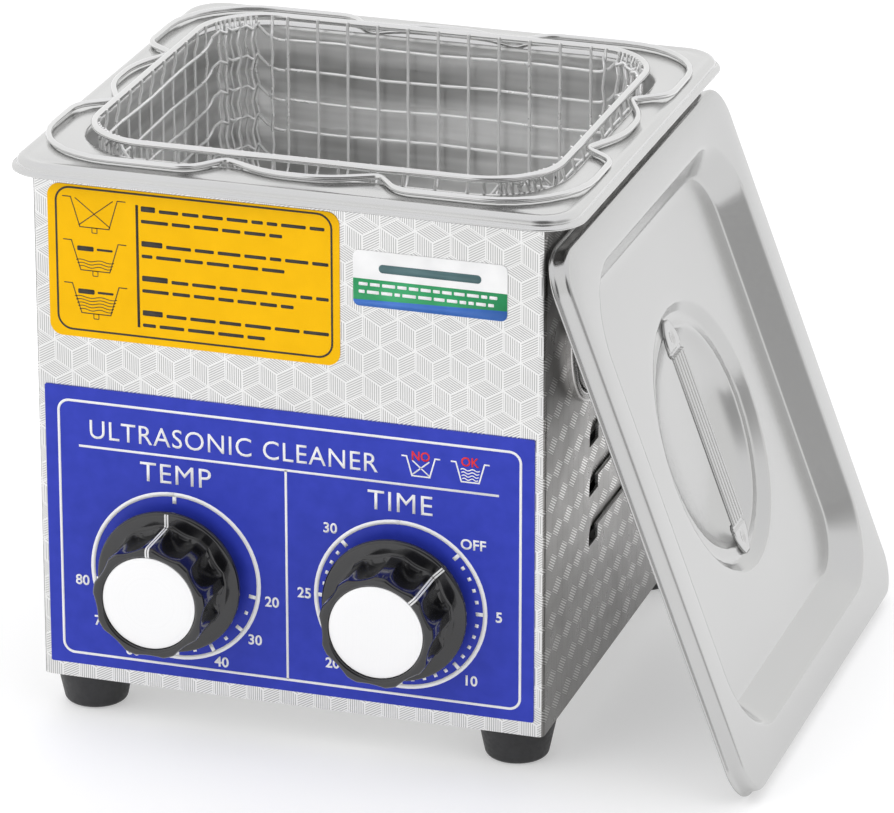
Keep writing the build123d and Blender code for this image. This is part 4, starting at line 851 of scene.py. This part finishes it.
# ---- printing on the front ----
class Print:
    """Flat ink shapes on a plane that faces the user, gathered into one piece."""

    def __init__(self, y):
        self.y = y
        self.verts, self.faces = [], []

    def add(self, points, faces):
        base = len(self.verts)
        self.verts += [place(x, self.y, z) for x, z in points]
        self.faces += [tuple(base + i for i in face) for face in faces]

    def area(self, points):
        self.add(points, [tuple(range(len(points)))])

    def stroke(self, points, width, closed=False):
        """A line of even width through the points, its joints mitred."""
        path = [Vector(p) for p in points]
        count = len(path)
        edges = []
        for i, here in enumerate(path):
            before = path[i - 1] if closed or i else here
            after = path[(i + 1) % count] if closed or i < count - 1 else here
            if before == here:
                before = here - (after - here)
            if after == here:
                after = here + (here - before)
            one, two = (here - before).normalized(), (after - here).normalized()
            normal = Vector((-(one + two).y, (one + two).x)).normalized()
            reach = width / 2 / max(normal.dot(Vector((-one.y, one.x))), 0.3)
            edges.append((here + normal * reach, here - normal * reach))
        flat = [tuple(p) for pair in edges for p in pair]
        nexts = [(i + 1) % count for i in range(count if closed else count - 1)]
        self.add(flat, [(2 * i, 2 * i + 1, 2 * j + 1, 2 * j) for i, j in enumerate(nexts)])

    def ring(self, lo_x, hi_x, lo_z, hi_z, radius):
        points = rounded((hi_x - lo_x) / 2, (hi_z - lo_z) / 2, radius, 8, 2)
        return [(x + (lo_x + hi_x) / 2, z + (lo_z + hi_z) / 2) for x, z in points]

    def frame_line(self, lo_x, hi_x, lo_z, hi_z, radius, width):
        self.stroke(self.ring(lo_x, hi_x, lo_z, hi_z, radius), width, True)

    def band(self, lo_x, hi_x, lo_z, hi_z, radius):
        self.area(self.ring(lo_x, hi_x, lo_z, hi_z, radius))

    def word(self, text, x, z, height, width=None, spacing=1.0, heavier=0.0):
        """Plain lettering centred at x, its base line at z, with capitals of that height."""
        curve = bpy.data.curves.new("word", "FONT")
        curve.body = text
        curve.size = 1.0
        curve.space_character = spacing
        curve.resolution_u = 4
        curve.offset = heavier
        helper = put("word", curve)
        bpy.context.view_layer.update()
        evaluated = helper.evaluated_get(bpy.context.evaluated_depsgraph_get())
        mesh = bpy.data.meshes.new_from_object(evaluated)
        bpy.data.objects.remove(helper)
        xs, ys = [v.co.x for v in mesh.vertices], [v.co.y for v in mesh.vertices]
        tall = height / (max(ys) - min(ys))
        wide = tall if width is None else width / (max(xs) - min(xs))
        middle, low = (max(xs) + min(xs)) / 2, min(ys)
        points = [(x + (v.co.x - middle) * wide, z + (v.co.y - low) * tall) for v in mesh.vertices]
        self.add(points, [tuple(face.vertices) for face in mesh.polygons])
        bpy.data.meshes.remove(mesh)

    def done(self, name, ink):
        thing = piece(name, self.verts, self.faces, ink, "cleaner", 60, INK_T * MM)
        turn_to_user(thing)


def turn_to_user(thing):
    """All the flat faces look to the front, so that the ink's thickness goes one way."""
    shape = bmesh.new()
    shape.from_mesh(thing.data)
    shape.normal_update()
    bmesh.ops.reverse_faces(shape, faces=[f for f in shape.faces if f.normal.y > 0])
    shape.to_mesh(thing.data)
    shape.free()


def arc_points(cx, cz, radius, start, stop, steps=72):
    """Points clockwise round a centre, the angles counted in degrees from the top."""
    angles = [math.radians(start + (stop - start) * i / steps) for i in range(steps + 1)]
    return [(cx + radius * math.sin(a), cz + radius * math.cos(a)) for a in angles]


def tray(ink, x, z, width, height, line):
    """A small tray pictogram: rims, slanted walls and a floor."""
    rim, slant = width * 0.13, width * 0.14
    left, right = x - width / 2, x + width / 2
    ink.stroke(
        [(left, z + height), (left + rim, z + height), (left + rim + slant, z), (right - rim - slant, z),
         (right - rim, z + height), (right, z + height)],
        line,
    )


def waves(ink, x, z, width, rows, pitch, line):
    """Wavy lines one above another, each a little wider, for the liquid in a pictogram."""
    for row in range(rows):
        spread = width * (1 + 0.07 * row)
        points = [
            (x - spread / 2 + spread * i / 16, z + row * pitch + 0.28 * pitch * math.sin(i * math.pi / 4))
            for i in range(17)
        ]
        ink.stroke(points, line)


INK_Y = PANEL_LO.y - INK_T
OVERPRINT = 0.02                 # how far a second ink stands before the first
DIAL_R, DIAL_LINE = 26.55, 1.35
MARK_RUN, MARK_LINE = (23.6, 25.9), 1.2
DOT_RUN, DOT_LINE = (23.65, 24.75), 1.1
TEMP_RING, TIME_RING = (-36.1, 49.7), (35.2, 49.7)
NUMBER_H = 3.4
TRAY_H, TRAY_Z, WORD_Z = 6.1, 91.7, 96.6


def rays(ink, at, angles, run, width):
    """Short strokes along a dial's radii, the angles counted in degrees from the top."""
    x, z = at
    for angle in angles:
        turn = math.radians(angle)
        ink.stroke([(x + r * math.sin(turn), z + r * math.cos(turn)) for r in run], width)


def dial(ink, at, marks, dots):
    """A dial's ring with its marks and the dots between them."""
    ink.stroke(arc_points(*at, DIAL_R, 0, 360), DIAL_LINE)
    rays(ink, at, marks, MARK_RUN, MARK_LINE)
    rays(ink, at, dots, DOT_RUN, DOT_LINE)


def numbers(ink, labels):
    """Numbers at their own places, each given by its middle."""
    for text, x, z in labels:
        ink.word(text, x, z - NUMBER_H / 2, NUMBER_H, heavier=0.022)


def panel_print():
    """The control panel's frame, its words and its two dials."""
    ink = Print(INK_Y)
    ink.frame_line(PANEL_LO.x + 4.3, PANEL_HI.x - 4.2, PANEL_LO.z + 3.7, PANEL_HI.z - 4.4, 3.5, 0.8)
    ink.word("ULTRASONIC CLEANER", -17.25, 91.3, 6.0, 91.1, 1.08)
    ink.stroke([(-66.4, 88.5), (65.9, 88.5)], 0.75)
    ink.stroke([(-0.6, 88.5), (-0.6, PANEL_LO.z + 3.9)], 0.75)
    ink.word("TEMP", -35.6, 79.6, 6.1, 22.6, 1.1)
    ink.word("TIME", 35.2, 79.5, 6.1, 20.2, 1.1)
    tens = [98.5 + 27.1 * k for k in range(7)]
    dial(ink, TEMP_RING, [0, *tens], [angle + 13.55 for angle in tens[:-1]])
    numbers(ink, [
        ("20", -5.4, 45.2), ("30", -10.9, 32.1), ("40", -21.8, 23.4), ("60", -50.4, 23.5),
        ("70", -60.4, 31.9), ("80", -66.2, 44.7),
    ])
    fives = [45.0 * k for k in range(1, 8)]
    minutes = [angle + 9 * step for angle in fives[:-1] for step in (1, 2, 3, 4)]
    dial(ink, TIME_RING, fives, minutes)
    numbers(ink, [
        ("OFF", 58.0, 71.8), ("5", 66.0, 49.5), ("10", 57.5, 27.8), ("20", 13.7, 27.8),
        ("25", 4.9, 49.6), ("30", 13.3, 71.7),
    ])
    for x, crossed in ((41.7, True), (57.0, False)):
        tray(ink, x, TRAY_Z, 12.0, TRAY_H, 0.45)
        if crossed:
            ink.stroke([(x - 2.65, 92.1), (x + 2.65, 96.6)], 0.42)
            ink.stroke([(x - 2.65, 96.6), (x + 2.65, 92.1)], 0.42)
        else:
            waves(ink, x, 92.6, 4.9, 4, 1.0, 0.32)
    ink.done("panel_lettering", INK_WHITE)
    red = Print(INK_Y - OVERPRINT)
    red.word("NO", 41.7, WORD_Z, 3.0, 5.6, heavier=0.02)
    red.word("OK", 57.0, WORD_Z, 3.0, 5.6, heavier=0.02)
    red.done("panel_red_words", INK_RED)


def label_print():
    """The notice: a frame line, three tray pictograms and lines with no readable words."""
    lo, hi = span("notice_label")
    ink = Print(lo.y - INK_T)
    ink.frame_line(lo.x + 2.7, hi.x - 2.4, lo.z + 2.3, hi.z - 0.9, 4.5, 0.6)
    divide = lo.x + 28.3
    ink.stroke([(divide, lo.z + 5.2), (divide, hi.z - 4.3)], 0.8)
    tray_x = lo.x + 14.8
    for row in range(3):
        base = hi.z - 13.0 - 13.6 * row
        tray(ink, tray_x, base, 20.0, 9.2, 0.28)
        ink.frame_line(tray_x - 0.8, tray_x + 0.8, base - 1.6, base, 0.2, 0.22)
        if row:
            waves(ink, tray_x, base + 1.1, 10.5, 3 + 2 * (row - 1), 1.0, 0.22)
            ink.band(tray_x - 5.6, tray_x - 0.4, base + 6.1, base + 7.6, 0.4)
            ink.band(tray_x + 0.6, tray_x + 5.6, base + 6.5, base + 7.2, 0.3)
        else:
            ink.stroke([(tray_x - 6.0, base + 9.0), (tray_x + 5.0, base + 0.5)], 0.26)
            ink.stroke([(tray_x + 6.0, base + 9.0), (tray_x - 5.0, base + 0.5)], 0.26)
    random.seed(3)
    line_tops = [hi.z - 6.2 - 10.9 * para - 3.6 * row for para in range(4) for row in range(2)]
    for index, z in enumerate(line_tops):
        x = divide + 1.3
        limit = hi.x - (3.4 if index % 2 == 0 else random.uniform(10, 30))
        first = True
        while x < limit - 2.0:
            length = random.uniform(3.2, 8.5)
            stop = min(x + length, limit)
            tall = 1.7 if first and index % 2 == 0 else 1.05
            ink.band(x, stop, z, z + tall, 0.35)
            x = stop + 1.2
            first = False
    ink.done("label_lines", INK_BLACK)


def lower_area(ink, lo_x, hi_x, low, left_z, right_z, radius):
    """The lower part of the sticker, its bottom corners rounded and its top edge straight."""
    points = [(hi_x, right_z), (lo_x, left_z)]
    points += [(lo_x + radius + x, low + radius + z) for x, z in bend(radius, 180, 270, 6)]
    points += [(hi_x - radius + x, low + radius + z) for x, z in bend(radius, 270, 360, 6)]
    ink.area(points)


def sticker_print():
    """A white top with one plain bar, and a green and blue foot with lines of no words."""
    lo, hi = span("side_sticker")
    y = lo.y - INK_T
    left, right, low = lo.x + INK_T, hi.x - INK_T, lo.z + INK_T
    green = Print(y)
    lower_area(green, left, right, low, lo.z + 8.6, lo.z + 8.6, 1.95)
    green.done("sticker_green_band", INK_GREEN)
    blue = Print(y - OVERPRINT)
    lower_area(blue, left, right, low, lo.z + 2.0, lo.z + 3.3, 1.95)
    blue.done("sticker_blue_band", INK_BLUE)
    white = Print(y - 2 * OVERPRINT)
    random.seed(11)
    for row, limit in ((0, hi.x - 2.0), (1, hi.x - 3.5)):
        x = lo.x + 1.8
        while x < limit - 1.5:
            stop = min(x + random.uniform(1.6, 4.2), limit)
            foot = lo.z + 6.5 - 2.4 * row
            white.band(x, stop, foot, foot + 1.0, 0.2)
            x = stop + 0.7
    white.done("sticker_white_lines", INK_WHITE)
    grey = Print(y)
    grey.band(lo.x + 8, hi.x - 8, lo.z + 10.9, lo.z + 13.5, 1.2)
    grey.done("sticker_grey_bar", INK_GREY)


panel_print()
label_print()
sticker_print()


# ---- camera, light and floor ----
RIGHT = Vector((0.9525, 0.30454, 0.0))
UP = Vector((-0.11107, 0.34739, 0.93112))
BACK = RIGHT.cross(UP).normalized()
EYE = place(551.24, -1651.29, 759.85)
camera_data = bpy.data.cameras.new("camera")
camera_data.sensor_width = 36.0
camera_data.lens = 242.42
camera_data.clip_end = 20.0
camera = put("camera", camera_data)
turned = Matrix((RIGHT, UP, BACK)).transposed().to_4x4()
camera.matrix_world = Matrix.Translation(EYE) @ turned
bpy.context.scene.camera = camera


def softbox(name, spot, target, size, power):
    """A soft lamp that lights the object and the floor and isn't seen in the metal."""
    light = bpy.data.lights.new(name, "AREA")
    light.shape = "RECTANGLE"
    light.size, light.size_y = size
    light.energy = power
    lamp = put(name, light)
    lamp.location = spot
    lamp.rotation_euler = (Vector(target) - Vector(spot)).to_track_quat("-Z", "Y").to_euler()
    lamp.visible_glossy = False


softbox("key", (-0.9, -0.9, 1.5), (0, 0, 0.08), (1.6, 1.6), 9)
softbox("fill", (1.5, -0.8, 1.0), (0, 0, 0.08), (1.4, 1.4), 3)
softbox("back", (0.2, 1.5, 1.2), (0, 0, 0.1), (1.8, 1.2), 4)

world = bpy.data.worlds.new("studio")
world.use_nodes = True
bpy.context.scene.world = world
sky = world.node_tree
ray = sky.nodes.new("ShaderNodeTexCoord").outputs["Generated"]
height = sky.nodes.new("ShaderNodeSeparateXYZ")
ramp = sky.nodes.new("ShaderNodeValToRGB")
sky.links.new(ray, height.inputs[0])
sky.links.new(height.outputs["Z"], ramp.inputs["Fac"])
ramp.color_ramp.elements[0].color = (0.98, 0.98, 0.98, 1)
ramp.color_ramp.elements[1].color = (0.98, 0.98, 1.0, 1)
ramp.color_ramp.elements.new(0.35).color = (1.0, 1.0, 1.0, 1)
shade = ramp.outputs["Color"]
for towards, inner, outer, depth in (    # the unlit room: direction, degrees, how dark
    ((0.29, -0.87, 0.41), 12, 36, 0.85),
    ((0.91, -0.38, 0.08), 8, 40, 0.50),
):
    aim = sky.nodes.new("ShaderNodeVectorMath")
    aim.operation = "DOT_PRODUCT"
    sky.links.new(ray, aim.inputs[0])
    aim.inputs[1].default_value = Vector(towards).normalized()
    zone = sky.nodes.new("ShaderNodeMapRange")
    zone.interpolation_type = "SMOOTHSTEP"
    sky.links.new(aim.outputs["Value"], zone.inputs["Value"])
    zone.inputs["From Min"].default_value = math.cos(math.radians(outer))
    zone.inputs["From Max"].default_value = math.cos(math.radians(inner))
    zone.inputs["To Min"].default_value = 1.0
    zone.inputs["To Max"].default_value = 1.0 - depth
    product = sky.nodes.new("ShaderNodeVectorMath")
    product.operation = "SCALE"
    sky.links.new(shade, product.inputs[0])
    sky.links.new(zone.outputs["Result"], product.inputs["Scale"])
    shade = product.outputs["Vector"]
sky.links.new(shade, sky.nodes["Background"].inputs["Color"])
sky.nodes["Background"].inputs["Strength"].default_value = 1.08

GROUND = 6.0                     # half the floor's side
ground_mesh = bpy.data.meshes.new("ground")
corners = [(GROUND * x, GROUND * y, 0) for x, y in ((-1, -1), (1, -1), (1, 1), (-1, 1))]
ground_mesh.from_pydata(corners, [], [(0, 1, 2, 3)])
ground = put("ground", ground_mesh)
ground.location.z = -0.0002
paper = Nodes("paper", (0.62, 0.62, 0.62), 0.0, 0.6)
paper.set("Base Color", paper.tint(paper.noise(3.0), (0.61, 0.61, 0.615), (0.63, 0.63, 0.63)))
paper.set("Emission Color", (1, 1, 1, 1))
paper.set("Emission Strength", 0.40)
ground_mesh.materials.append(paper.material)
bpy.context.scene.view_settings.view_transform = "Standard"
